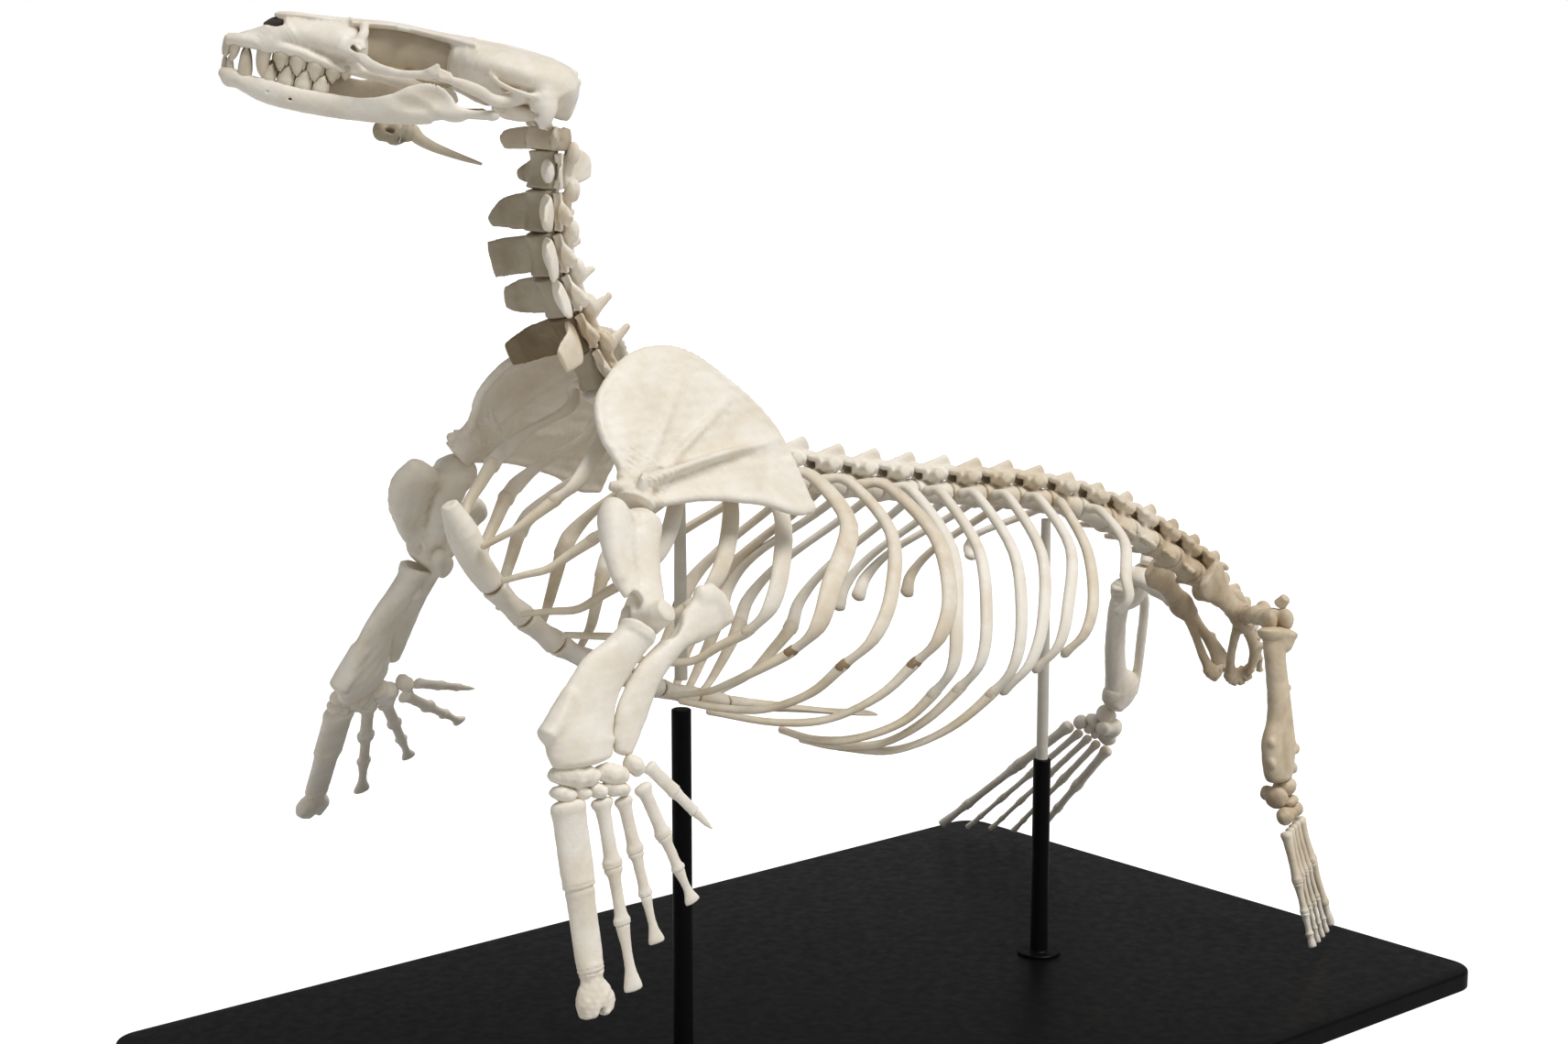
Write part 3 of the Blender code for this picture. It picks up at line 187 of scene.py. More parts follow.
class Spine:
    """The middle line of the vertebral bodies, measured along its length."""

    def __init__(self):
        self.line = curve([(x, MID_Y, z) for x, z in SPINE_LINE], 12)
        steps = np.linalg.norm(np.diff(self.line, axis=0), axis=1)
        self.along = np.concatenate([[0], np.cumsum(steps)])

    def place(self, s):
        return np.array([np.interp(s, self.along, self.line[:, k]) for k in range(3)])

    def frame(self, s, yaw=0.0):
        """Axes of a vertebra: towards the head, towards the back, and to the animal's left."""
        forward = unit(self.place(s - 0.006) - self.place(s + 0.006))
        left = square_to((-math.sin(yaw), -math.cos(yaw), 0), forward)
        return Frame(self.place(s), forward, np.cross(forward, left), left)


def limb_frame(side, start, end, outward):
    """Axes along the bone, towards the head end of the animal, and outwards."""
    along = unit(np.subtract(end, start))
    out = square_to(outward, along)
    return Frame(start, along, -SIDES[side] * np.cross(along, out), out)


def outward_of(side, down=0.0, front=0.0):
    """A direction away from the middle plane, leaning down and to the front."""
    return (-front, SIDES[side], -down)


# ---- Bones as distances on a grid ----

FAR = 0.05  # a distance outside all shapes


def blended(old, new, blend):
    """The nearer of two distances, with a rounded join."""
    share = np.clip(0.5 + 0.5 * (old - new) / blend, 0, 1)
    return old + (new - old) * share - blend * share * (1 - share)


def lumps(x, y, z, size, seed):
    """A soft unevenness from -1 to 1 with hollows about `size` apart."""
    turn = np.random.default_rng(seed)
    total = 0
    for _ in range(5):
        way = unit(turn.normal(size=3)) * 2 * math.pi / size * turn.uniform(0.7, 1.5)
        total = total + np.sin(x * way[0] + y * way[1] + z * way[2] + turn.uniform(0, 6.3))
    return total / 5


class Bone:
    """A bone drawn in its own frame from rounded shapes that flow into each other."""

    def __init__(self, frame, cell, blend=0.002, rough=0.00022):
        self.frame = frame
        self.cell = cell
        self.blend = blend
        self.rough = rough
        self.shapes = []

    def tube(self, rows, across, steps=3, blend=None, cut=False, cap=0.35):
        """A tube along the rows: x, y, z, half-width along `across`, half-thickness.

        cap is how far its ends bulge, as a share of their smaller half.
        """
        rows = curve(rows, steps)
        pieces = []
        for i, (a, b) in enumerate(zip(rows, rows[1:])):
            before, after = rows[max(i - 1, 0)], rows[min(i + 2, len(rows) - 1)]
            ahead = unit(after[:3] - before[:3])
            wide = square_to(across, ahead)
            pieces.append((a, b, wide, np.cross(ahead, wide), cap))
        self.shapes.append((pieces, blend or self.blend, cut))

    def hole(self, start, end, wide, thick, across, blend=0.001):
        """A straight hole that stays the same size."""
        self.tube([(*start, wide, thick), (*end, wide, thick)], across, 1, blend, cut=True)

    def ball(self, place, radii, blend=None, cut=False):
        """An ellipsoid, with radii along the frame's axes."""
        self.shapes.append(([(np.array(place, float), np.array(radii, float))], blend or self.blend, cut))

    def balls(self, rows, blend, cut=False):
        """An ellipsoid for each row of a place and three radii."""
        for row in rows:
            self.ball(row[:3], row[3:], blend, cut)

    @staticmethod
    def box(piece):
        """Lowest and highest corner of a piece, and its largest radius."""
        if len(piece) == 2:
            place, radii = piece
            return place - radii, place + radii
        a, b = piece[:2]
        reach = max(a[3], a[4], b[3], b[4])
        return np.minimum(a[:3], b[:3]) - reach, np.maximum(a[:3], b[:3]) + reach

    @staticmethod
    def distance(piece, x, y, z):
        """Distance to a piece, true close to its surface."""
        if len(piece) == 2:
            place, radii = piece
            parts = [(axis - place[k]) / radii[k] for k, axis in enumerate((x, y, z))]
            sizes = radii
        else:
            a, b, wide_axis, thick_axis, cap = piece
            along = b[:3] - a[:3]
            dx, dy, dz = x - a[0], y - a[1], z - a[2]
            t = np.clip((dx * along[0] + dy * along[1] + dz * along[2]) / (along @ along), 0, 1)
            dx, dy, dz = dx - t * along[0], dy - t * along[1], dz - t * along[2]
            wide = a[3] + (b[3] - a[3]) * t
            thick = a[4] + (b[4] - a[4]) * t
            end = np.minimum(wide, thick) * cap
            ahead = unit(along)
            sizes = (wide, thick, end)
            parts = [(dx * axis[0] + dy * axis[1] + dz * axis[2]) / size
                     for axis, size in zip((wide_axis, thick_axis, ahead), sizes)]
        near = np.sqrt(sum(part * part for part in parts)) + 1e-9
        slope = np.sqrt(sum((part / size) ** 2 for part, size in zip(parts, sizes))) + 1e-9
        return near * (near - 1) / slope

    def grid(self):
        """The field of distances, its lowest corner, and the coordinates along each axis."""
        boxes = [self.box(piece) for pieces, _, cut in self.shapes if not cut for piece in pieces]
        low = np.min([box[0] for box in boxes], axis=0) - 4 * self.cell
        high = np.max([box[1] for box in boxes], axis=0) + 4 * self.cell
        axes = [np.arange(a, b, self.cell, dtype=np.float32) for a, b in zip(low, high)]
        field = np.full([len(axis) for axis in axes], FAR, np.float32)
        for pieces, blend, cut in self.shapes:
            layer = np.full_like(field, FAR)
            reach = blend + 3 * self.cell
            for piece in pieces:
                low_corner, high_corner = self.box(piece)
                ends = zip(axes, low_corner - reach, high_corner + reach)
                block = tuple(slice(*np.searchsorted(axis, (a, b))) for axis, a, b in ends)
                places = np.ix_(*(axis[span] for axis, span in zip(axes, block)))
                layer[block] = np.minimum(layer[block], self.distance(piece, *places))
            field = -blended(-field, layer, blend) if cut else blended(field, layer, blend)
        if self.rough:
            x, y, z = np.ix_(*axes)
            field += self.rough * lumps(x, y, z, 0.009, 3) + 0.5 * self.rough * lumps(x, y, z, 0.0035, 5)
        return field, low

    def surface(self):
        """World points, quads, and how hollow the surface is at each point."""
        field, low = self.grid()
        points, quads = net(field)
        solid = softened(np.clip(0.5 - field / self.cell, 0, 1), max(2, round(0.003 / self.cell)))
        # How hollow each point lies, from a softened fill of the grid; the bone finishes paint shade by it.
        hollow = np.clip((sampled(solid, points) - 0.53) / 0.2, 0, 1)
        return self.frame.world(low + points * self.cell), quads, hollow


def softened(field, reach):
    """The field with each value averaged over its neighbours, twice along each axis."""
    for axis in (0, 1, 2, 0, 1, 2):
        count = field.shape[axis]
        start = np.zeros_like(np.take(field, [0], axis=axis))
        total = np.concatenate([start, np.cumsum(field, axis=axis)], axis=axis)
        ahead = np.minimum(np.arange(count) + reach + 1, count)
        behind = np.maximum(np.arange(count) - reach, 0)
        field = (np.take(total, ahead, axis=axis) - np.take(total, behind, axis=axis)) / (2 * reach + 1)
    return field


def sampled(field, points):
    """The field's values at points between its grid points."""
    cell = np.clip(points.astype(int), 0, np.array(field.shape) - 2)
    share = points - cell
    total = 0
    for corner in np.ndindex(2, 2, 2):
        weight = np.prod(np.where(corner, share, 1 - share), axis=1)
        total = total + weight * field[tuple((cell + corner).T)]
    return total


def net(field):
    """Points and quads of the surface where a field changes sign, with one point in each cell it crosses."""
    inside = field < 0
    corners = list(np.ndindex(2, 2, 2))
    length, width, height = np.array(inside.shape) - 1
    count = sum(inside[i:length + i, j:width + j, k:height + k].astype(np.int8) for i, j, k in corners)
    crossed = (count > 0) & (count < 8)
    number = np.full(crossed.shape, -1)
    number[crossed] = np.arange(crossed.sum())
    cells = np.argwhere(crossed)
    total = np.zeros((len(cells), 3))
    hits = np.zeros(len(cells))
    for a in corners:
        for b in corners:
            if sum(b) - sum(a) != 1 or any(q < p for p, q in zip(a, b)):
                continue
            first = field[tuple((cells + a).T)]
            second = field[tuple((cells + b).T)]
            hit = (first < 0) != (second < 0)
            share = first[hit] / (first[hit] - second[hit])
            total[hit] += a + share[:, None] * np.subtract(b, a)
            hits += hit
    points = cells + total / hits[:, None]
    quads = []
    for k in range(3):
        step = np.eye(3, dtype=int)[k]
        u, v = np.eye(3, dtype=int)[(k + 1) % 3], np.eye(3, dtype=int)[(k + 2) % 3]
        near = np.take(inside, range(inside.shape[k] - 1), axis=k)
        beyond = np.take(inside, range(1, inside.shape[k]), axis=k)
        spots = np.argwhere(near != beyond)
        inner = near[tuple(spots.T)]
        ring = [number[tuple((spots - way).T)] for way in (0 * step, u, u + v, v)]
        ring = np.array(ring).T
        ring[~inner] = ring[~inner][:, ::-1]
        quads.append(ring)
    return points, np.concatenate(quads)


# ---- Lofted shapes ----


def ring_faces(count, sides):
    """The faces that join rings of points, one after the other, into a closed solid."""
    faces = []
    for start in range(0, (count - 1) * sides, sides):
        for k in range(sides):
            after = (k + 1) % sides
            faces.append((start + k, start + after, start + sides + after, start + sides + k))
    faces.append(tuple(range(sides))[::-1])
    faces.append(tuple((count - 1) * sides + k for k in range(sides)))
    return faces


def loft(rows, across, sides, steps, round_ends=True):
    """World points and faces of a smooth closed tube along rows of x, y, z, half-width, half-thickness."""
    rows = curve(rows, steps)
    if round_ends:
        ends = []
        for end, inner in ((rows[0], rows[1]), (rows[-1], rows[-2])):
            out = unit(end[:3] - inner[:3])
            size = min(end[3], end[4])
            ends.append([np.concatenate([end[:3] + out * size * math.sin(turn),
                                         end[3:] * math.cos(turn)]) for turn in (0.5, 0.95, 1.3)])
        rows = np.array(ends[0][::-1] + list(rows) + ends[1])
    angles = 2 * math.pi * np.arange(sides) / sides
    rings = []
    for i, row in enumerate(rows):
        ahead = unit(rows[min(i + 1, len(rows) - 1)][:3] - rows[max(i - 1, 0)][:3])
        wide = square_to(across, ahead)
        thick = np.cross(ahead, wide)
        ring = row[:3] + np.outer(np.cos(angles) * row[3], wide) + np.outer(np.sin(angles) * row[4], thick)
        rings.append(ring)
    return np.concatenate(rings), ring_faces(len(rings), sides)


def turned(place, levels, sides=48):
    """A turned upright, from levels of height and radius."""
    return loft([(*place, height, radius, radius) for height, radius in levels], FORE_AFT, sides, 1, False)


def joined(*shapes):
    """Several meshes as one."""
    points, faces, start = [], [], 0
    for some_points, some_faces in shapes:
        points.append(some_points)
        faces += [tuple(int(i) + start for i in face) for face in some_faces]
        start += len(some_points)
    return np.concatenate(points), faces


# ---- Pieces ----


def add_piece(name, points, faces, finish, nodes, slot, hollow=None, sharp=None):
    """One object of the scene, which stands for CAD nodes."""
    mesh = bpy.data.meshes.new(name)
    faces = faces.tolist() if hasattr(faces, "tolist") else [tuple(map(int, face)) for face in faces]
    mesh.from_pydata(points.tolist(), [], faces)
    mesh.update()
    mesh.shade_smooth()
    if sharp:
        mesh.set_sharp_from_angle(angle=math.radians(sharp))
    # The hollow value of each point, which the bone finishes use to paint shade into hollows.
    hollow_shade = mesh.attributes.new("hollow", "FLOAT", "POINT")
    hollow_shade.data.foreach_set("value", (np.zeros(len(points)) if hollow is None else hollow).astype(np.float32))
    mesh.materials.append(finish)
    piece = bpy.data.objects.new(name, mesh)
    bpy.context.scene.collection.objects.link(piece)
    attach(piece, "root")
    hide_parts(*nodes)


def add_loft(name, rows, across, finish, nodes, sides=14, steps=1):
    """A lofted piece of a bone, or of what goes with it."""
    add_piece(name, *loft(rows, across, sides, steps), finish, nodes, "pale_bone")


def add_bone(name, bone, finish, nodes, slot="pale_bone"):
    points, quads, hollow = bone.surface()
    add_piece(name, points, quads, finish, nodes, slot, hollow)


# ---- Materials ----


class Finish:
    """A material with short calls for its nodes."""

    def __init__(self, name):
        self.material = bpy.data.materials.new(name)
        self.material.use_nodes = True
        self.tree = self.material.node_tree
        self.shader = self.tree.nodes["Principled BSDF"]
        coordinates = self.tree.nodes.new("ShaderNodeTexCoord")
        self.place = coordinates.outputs["Object"]

    def node(self, kind, **values):
        node = self.tree.nodes.new(kind)
        for key, value in values.items():
            setattr(node, key, value)
        return node

    def put(self, value, socket):
        """Links an output to a socket, or sets the socket to a constant."""
        if isinstance(value, bpy.types.NodeSocket):
            self.tree.links.new(value, socket)
        else:
            socket.default_value = value

    def noise(self, scale, detail, roughness=0.55, warp=0.0):
        node = self.node("ShaderNodeTexNoise")
        self.put(self.place, node.inputs["Vector"])
        self.put(scale, node.inputs["Scale"])
        self.put(detail, node.inputs["Detail"])
        self.put(roughness, node.inputs["Roughness"])
        self.put(warp, node.inputs["Distortion"])
        return node.outputs["Fac"]

    def pores(self, scale):
        node = self.node("ShaderNodeTexVoronoi")
        self.put(self.place, node.inputs["Vector"])
        self.put(scale, node.inputs["Scale"])
        return node.outputs["Distance"]

    def span(self, value, low, high, to_low=0.0, to_high=1.0):
        """The value, with the range low to high stretched to the new range."""
        node = self.node("ShaderNodeMapRange")
        for name, number in zip(("Value", "From Min", "From Max", "To Min", "To Max"),
                                (value, low, high, to_low, to_high)):
            self.put(number, node.inputs[name])
        return node.outputs["Result"]

    def math(self, operation, a, b):
        node = self.node("ShaderNodeMath", operation=operation)
        self.put(a, node.inputs[0])
        self.put(b, node.inputs[1])
        return node.outputs[0]

    def mix(self, share, a, b):
        node = self.node("ShaderNodeMix", data_type="RGBA")
        self.put(share, node.inputs["Factor"])
        self.put(a, node.inputs[6])
        self.put(b, node.inputs[7])
        return node.outputs[2]

    def bump(self, height, strength, distance, under=None):
        node = self.node("ShaderNodeBump")
        self.put(height, node.inputs["Height"])
        self.put(strength, node.inputs["Strength"])
        self.put(distance, node.inputs["Distance"])
        if under:
            self.put(under, node.inputs["Normal"])
        return node.outputs["Normal"]

    def attribute(self, name):
        return self.node("ShaderNodeAttribute", attribute_name=name).outputs["Fac"]

    def done(self, colour, roughness, normal=None, **others):
        self.put(colour, self.shader.inputs["Base Color"])
        self.put(roughness, self.shader.inputs["Roughness"])
        if normal:
            self.put(normal, self.shader.inputs["Normal"])
        for name, value in others.items():
            self.put(value, self.shader.inputs[name.replace("_", " ")])
        return self.material


# The colour of the painted shade in the hollows of a bone.
HOLLOW_SHADE_COLOUR = (0.34, 0.23, 0.12, 1)


def bone_finish(name, light, warm, stain, stain_share):
    """Cleaned bone: light and warm patches, stained patches, painted shade in the hollows, fine pores."""
    made = Finish(name)
    patches = made.noise(38, 5, 0.6, 0.4)
    colour = made.mix(made.span(patches, 0.35, 0.68), light, warm)
    blotches = made.noise(22, 6, 0.65, 0.8)
    low = 0.74 - 0.62 * stain_share
    colour = made.mix(made.span(blotches, low, low + 0.22, 0.0, 0.35 + 0.55 * stain_share), colour, stain)
    speckle = made.span(made.noise(520, 3, 0.6), 0.62, 0.8, 0.0, 0.3)
    colour = made.mix(speckle, colour, stain)
    # Painted shade: the colour darkens towards the hollow colour where the surface lies hollow, broken up by
    # noise.
    hollow = made.attribute("hollow")
    hollow_shade = made.math("MULTIPLY", hollow, made.span(made.noise(160, 4), 0.25, 0.6, 0.45, 1.0))
    colour = made.mix(made.math("MULTIPLY", hollow_shade, 0.85), colour, HOLLOW_SHADE_COLOUR)
    rough = made.span(made.noise(240, 4), 0.3, 0.7, 0.42, 0.62)
    grain = made.bump(made.noise(900, 5, 0.6), 0.25, 0.0004)
    pits = made.bump(made.span(made.pores(620), 0.0, 0.35), 0.18, 0.0003, grain)
    normal = made.bump(made.noise(95, 5, 0.55, 0.5), 0.35, 0.0009, pits)
    return made.done(colour, rough, normal, Specular_IOR_Level=0.38)


def smooth_finish(name, light, dark, roughness, bump=0.1, **others):
    made = Finish(name)
    colour = made.mix(made.span(made.noise(60, 4), 0.3, 0.7), light, dark)
    rough = made.span(made.noise(130, 4), 0.3, 0.7, roughness * 0.85, roughness * 1.15)
    normal = made.bump(made.noise(700, 4), bump, 0.0003)
    return made.done(colour, rough, normal, **others)


PALE = bone_finish("bone_pale", (0.84, 0.79, 0.7, 1), (0.74, 0.655, 0.53, 1), (0.5, 0.36, 0.21, 1), 0.12)
WARM = bone_finish("bone_warm", (0.77, 0.7, 0.58, 1), (0.66, 0.55, 0.4, 1), (0.44, 0.3, 0.16, 1), 0.35)
BROWN = bone_finish("bone_brown", (0.7, 0.6, 0.45, 1), (0.57, 0.455, 0.305, 1), (0.34, 0.23, 0.13, 1), 0.45)
# Painted shade: darker bone for the inner walls of the orbits, which lie in shade.
ORBIT_SHADE = bone_finish("orbit_wall", (0.5, 0.425, 0.31, 1), (0.42, 0.34, 0.23, 1), (0.3, 0.21, 0.12, 1), 0.2)
# Darker bone, for the atlas, and as painted shade for the far jaw half and the hyoid horns.
DULL = bone_finish("bone_dull", (0.56, 0.49, 0.375, 1), (0.46, 0.38, 0.27, 1), (0.3, 0.21, 0.12, 1), 0.25)
# Painted shade: a darker copy of the bone for the neck bones' bodies with their far plates and for the hyoid
# body, which lie away from the light.
NECK_SHADE = bone_finish("bone_painted_shade", (0.43, 0.375, 0.28, 1), (0.34, 0.285, 0.2, 1),
                         (0.21, 0.155, 0.09, 1), 0.3)
# Real brown bone made darker still as painted shade, for the body and far plate of the sixth neck bone.
NECK_BROWN_SHADED = bone_finish("bone_brown_painted_shade", (0.25, 0.19, 0.11, 1), (0.18, 0.13, 0.07, 1),
                         (0.1, 0.07, 0.035, 1), 0.35)
# Painted shade: darker enamel for the far teeth, which lie in shade.
FAR_ENAMEL_SHADE = smooth_finish("tooth_enamel_painted_shade", (0.4, 0.345, 0.26, 1), (0.27, 0.22, 0.145, 1), 0.4)
# Painted shadow: a near-black finish for the sheet inside the nose opening.
NOSE_SHADOW_FILL = smooth_finish("nose_shadow_fill", (0.05, 0.038, 0.028, 1), (0.03, 0.022, 0.016, 1), 0.7, 0.3)
ENAMEL = smooth_finish("tooth_enamel", (0.74, 0.68, 0.56, 1), (0.56, 0.47, 0.33, 1), 0.3)
CARTILAGE = smooth_finish("rib_cartilage", (0.8, 0.73, 0.6, 1), (0.66, 0.55, 0.38, 1), 0.5, 0.25)
DARK_END = smooth_finish("dried_cartilage", (0.36, 0.25, 0.14, 1), (0.22, 0.14, 0.07, 1), 0.55, 0.3)
BLACK = smooth_finish("black_satin_paint", (0.0026, 0.0026, 0.0028, 1), (0.0036, 0.0036, 0.0039, 1), 0.42,
                      0.04, Specular_IOR_Level=0.05)
PIN_PAINT = smooth_finish("bone_coloured_paint", (0.64, 0.6, 0.52, 1), (0.54, 0.5, 0.42, 1), 0.38, 0.05)
WIRE = smooth_finish("steel_wire", (0.48, 0.46, 0.42, 1), (0.38, 0.36, 0.33, 1), 0.35, 0.02, Metallic=1.0)


# ---- The stand ----

BASE_LENGTH = 0.813
BASE_WIDTH = 0.519
BASE_EDGE = 0.0022
ROD_RADIUS = 0.00635
PIN_RADIUS = 0.0042
FOOT_RADIUS = 0.0155
FRONT_ROD = (-0.142, -0.0275)
REAR_ROD = (0.19, -0.029)
ROD_TOPS = {"front": 0.2488, "rear": 0.159}
PIN_SPANS = {"front": (0.2681, 0.4), "rear": (0.1593, 0.3345)}  # heights where a pin begins and ends


def add_base():
    """A board with round corners and softened edges."""
    corner_steps = 14
    turns = np.linspace(0, math.pi / 2, 5)
    edge = [(BASE_EDGE * (1 - math.cos(turn)), BASE_EDGE * math.sin(turn)) for turn in turns]
    levels = [(BASE_EDGE * 0.3, 0.0), (0.0, BASE_EDGE * 0.3)]
    levels += [(inward, BASE_HEIGHT - BASE_EDGE + up) for inward, up in edge]
    rings = []
    for inward, height in levels:
        ring = []
        for turn in range(4):
            for step in range(corner_steps + 1):
                angle = math.pi / 2 * (turn + step / corner_steps)
                reach = BASE_CORNER - inward
                middle_x = (BASE_LENGTH / 2 - BASE_CORNER) * (1 if turn in (0, 3) else -1)
                middle_y = (BASE_WIDTH / 2 - BASE_CORNER) * (1 if turn in (0, 1) else -1)
                ring.append((middle_x + reach * math.cos(angle), middle_y + reach * math.sin(angle),
                             height))
        rings.append(ring)
    faces = ring_faces(len(rings), len(rings[0]))
    add_piece("base_board", np.concatenate(rings), faces, BLACK, ["stand_base"], "black_paint", sharp=30)


def add_rods():
    floor = BASE_HEIGHT + GAP
    for name, place in (("front", FRONT_ROD), ("rear", REAR_ROD)):
        top = ROD_TOPS[name]
        foot = [(floor, FOOT_RADIUS), (floor + 0.0012, FOOT_RADIUS), (floor + 0.002, FOOT_RADIUS - 0.0008),
                (floor + 0.0021, ROD_RADIUS + 0.0012), (floor + 0.003, ROD_RADIUS + 0.0002),
                (floor + 0.0034, ROD_RADIUS), (top - 0.0006, ROD_RADIUS), (top, ROD_RADIUS - 0.0006)]
        add_piece("rod_" + name, *turned(place, foot), BLACK, ["stand_rod_" + name], "black_paint",
                  sharp=35)
        low, high = PIN_SPANS[name]
        levels = [(low, PIN_RADIUS), ((low + high) / 2, PIN_RADIUS * 0.96), (high, PIN_RADIUS * 0.8)]
        add_piece("pin_" + name, *turned(place, levels, 32), PIN_PAINT, ["stand_pin_" + name], "pin_paint",
                  sharp=40)


# ---- The spine ----


def outward_pair(rows):
    """Rows on the left side, and the same rows on the right side."""
    return [[(x, y, side * z, *sizes) for x, y, z, *sizes in rows] for side in (1, -1)]


# Of the neck bones: height and backward lean of the spine, reach outward and down of the outer plate,
# and reach sideways of the wing behind it.
NECK_SPINES = {"cervical_3": (0.013, 0.000), "cervical_4": (0.017, -0.003), "cervical_5": (0.022, -0.004),
               "cervical_6": (0.027, -0.006), "cervical_7": (0.03, -0.006)}
NECK_LAMELLAS = {"axis": (0.017, 0.006), "cervical_3": (0.027, 0.016), "cervical_4": (0.029, 0.017),
                 "cervical_5": (0.028, 0.015), "cervical_6": (0.027, 0.028)}
NECK_WINGS = {"cervical_3": 0.024, "cervical_4": 0.024, "cervical_5": 0.024, "cervical_6": 0.02,
              "cervical_7": 0.015}
# How far towards the head the outer plate of a neck bone lies at its root, middle and tip,
# and its half-width there, as shares of half the bone's length.
PLATE_SHAPES = {"axis": ((0.0, 0.7), (-0.2, 0.52), (-0.3, 0.3)),
                "cervical_3": ((0.0, 0.9), (-0.15, 0.84), (-0.6, 0.3)),
                "cervical_4": ((0.0, 0.88), (-0.05, 0.92), (-0.1, 0.9)),
                "cervical_5": ((0.0, 0.96), (0.06, 0.9), (0.25, 0.55)),
                "cervical_6": ((-0.05, 0.96), (-0.08, 0.9), (-0.05, 0.62))}


def add_plate(bone, name, side, half):
    """The plate that runs out and down from the side of a neck bone."""
    out, down = NECK_LAMELLAS[name]
    root, middle, tip = PLATE_SHAPES[name]
    beyond = ((middle[0] + tip[0]) / 2, (middle[1] + tip[1]) / 2)
    places = ((root, -0.001, 0.005, 0.0032), (middle, -down * 0.42, (0.01 + out) * 0.52, 0.0023),
              (beyond, -down * 0.78, out * 0.88, 0.0018), (tip, -down, out, 0.0017))
    rows = [(ahead * half, high, side * aside, half * wide, thick)
            for (ahead, wide), high, aside, thick in places]
    bone.tube(rows, FORE_AFT, 7, cap=0.7)


def neck_bone(name, frame, length):
    """The body with its far plate, and the arch with its joint knobs, near plate, bars and spine; kept apart
    so that the body and far plate take a darker finish as painted shade.
    """
    half = length / 2 - GAP
    body = Bone(frame, CELL * 0.85, 0.0022)
    arch = Bone(frame, CELL * 0.85, 0.0022)
    wide, deep = 0.01, 0.0085
    roof = deep * 1.45
    body.tube([(half * 0.96, 0, 0, wide, deep), (half * 0.5, 0.0004, 0, wide * 0.86, deep * 0.86),
               (-half * 0.3, 0.0004, 0, wide * 0.84, deep * 0.84),
               (-half * 0.96, 0, 0, wide * 1.05, deep * 1.02)], SIDEWAYS, cap=0.12)
    arch.tube([(half * 0.8, roof, 0, 0.014, deep * 0.6), (0, roof, 0, 0.012, deep * 0.66),
               (-half * 0.8, roof, 0, 0.014, deep * 0.6)], SIDEWAYS, cap=0.3)
    for side in (1, -1):
        arch.ball((half * 0.98, roof + 0.0002, side * 0.0135), (0.0068, 0.0034, 0.0046))
        arch.ball((-half * 0.98, roof + 0.003, side * 0.0125), (0.0068, 0.0034, 0.0044))
        arch.tube([(half * 0.85, deep * 0.45, side * 0.0118, 0.0026, 0.003),
                   (0, deep * 0.35, side * 0.014, 0.0024, 0.0026),
                   (-half * 0.9, deep * 0.5, side * 0.0128, 0.0028, 0.0032)], SIDEWAYS)
        if name in NECK_WINGS:
            reach = NECK_WINGS[name]
            arch.tube([(0.001, deep * 0.7, side * 0.006, half * 0.62, 0.0034),
                       (-0.002, deep * 0.5, side * reach * 0.8, half * 0.46, 0.0028),
                       (-0.45 * half, deep * 0.45, side * reach, half * 0.36, 0.0024)], FORE_AFT)
        if name in NECK_LAMELLAS:
            # The far plate goes with the body, in its painted shade finish.
            add_plate(body if side < 0 else arch, name, side, half)
        arch.ball((-half * 0.2, roof - 0.001, side * 0.015), (0.0034, 0.0026, 0.0042), 0.001, cut=True)
        out = side * 0.0135
        arch.hole((-half * 1.2, 0.0022, out), (half * 1.2, 0.0022, out), 0.0022, 0.002, SIDEWAYS)
    if name in NECK_SPINES:
        height, lean = NECK_SPINES[name]
        arch.tube([(0.1 * half, roof, 0, half * 0.62, 0.003),
                   (-lean * 0.5, roof + height * 0.5, 0, half * 0.32, 0.0019),
                   (-lean - 0.0015, roof + height * 0.93, 0, half * 0.16, 0.0014)], FORE_AFT)
    if name == "axis":
        arch.tube([(half * 1.1, roof + 0.002, 0, 0.006, 0.0034),
                   (half * 0.3, roof + 0.0085, 0, 0.0125, 0.004),
                   (-half * 0.4, roof + 0.0125, 0, 0.009, 0.0042)], FORE_AFT)
    for bone in (body, arch):
        bone.hole((-half * 1.6, roof - 0.0008, 0), (half * 1.6, roof - 0.0008, 0), 0.0066, 0.0046, SIDEWAYS)
    return body, arch


def atlas_bone(frame, length):
    """A ring with two broad wings that droop towards the belly."""
    half = length / 2 - GAP
    bone = Bone(frame, CELL * 0.85)
    bone.tube([(half * 0.85, 0.003, 0, 0.015, 0.0122), (0, 0.003, 0, 0.0162, 0.013),
               (-half * 0.85, 0.003, 0, 0.015, 0.0118)], SIDEWAYS, cap=0.15)
    for rows in outward_pair([(0, 0.002, 0.01, half * 0.95, 0.0042), (0, -0.003, 0.025, half * 1.0, 0.0024),
                              (-0.0015, -0.009, 0.038, half * 0.85, 0.002),
                              (-0.003, -0.01, 0.041, half * 0.5, 0.0018)]):
        bone.tube(rows, FORE_AFT)
    bone.hole((-half * 2, 0.0035, 0), (half * 2, 0.0035, 0), 0.009, 0.0082, SIDEWAYS)
    for side in (1, -1):
        bone.hole((-0.002, 0.014, side * 0.0165), (-0.002, -0.01, side * 0.0195), 0.002, 0.002, FORE_AFT)
        bone.ball((half * 1.2, 0.002, side * 0.0105), (0.0045, 0.0065, 0.004), 0.001, cut=True)
    return bone


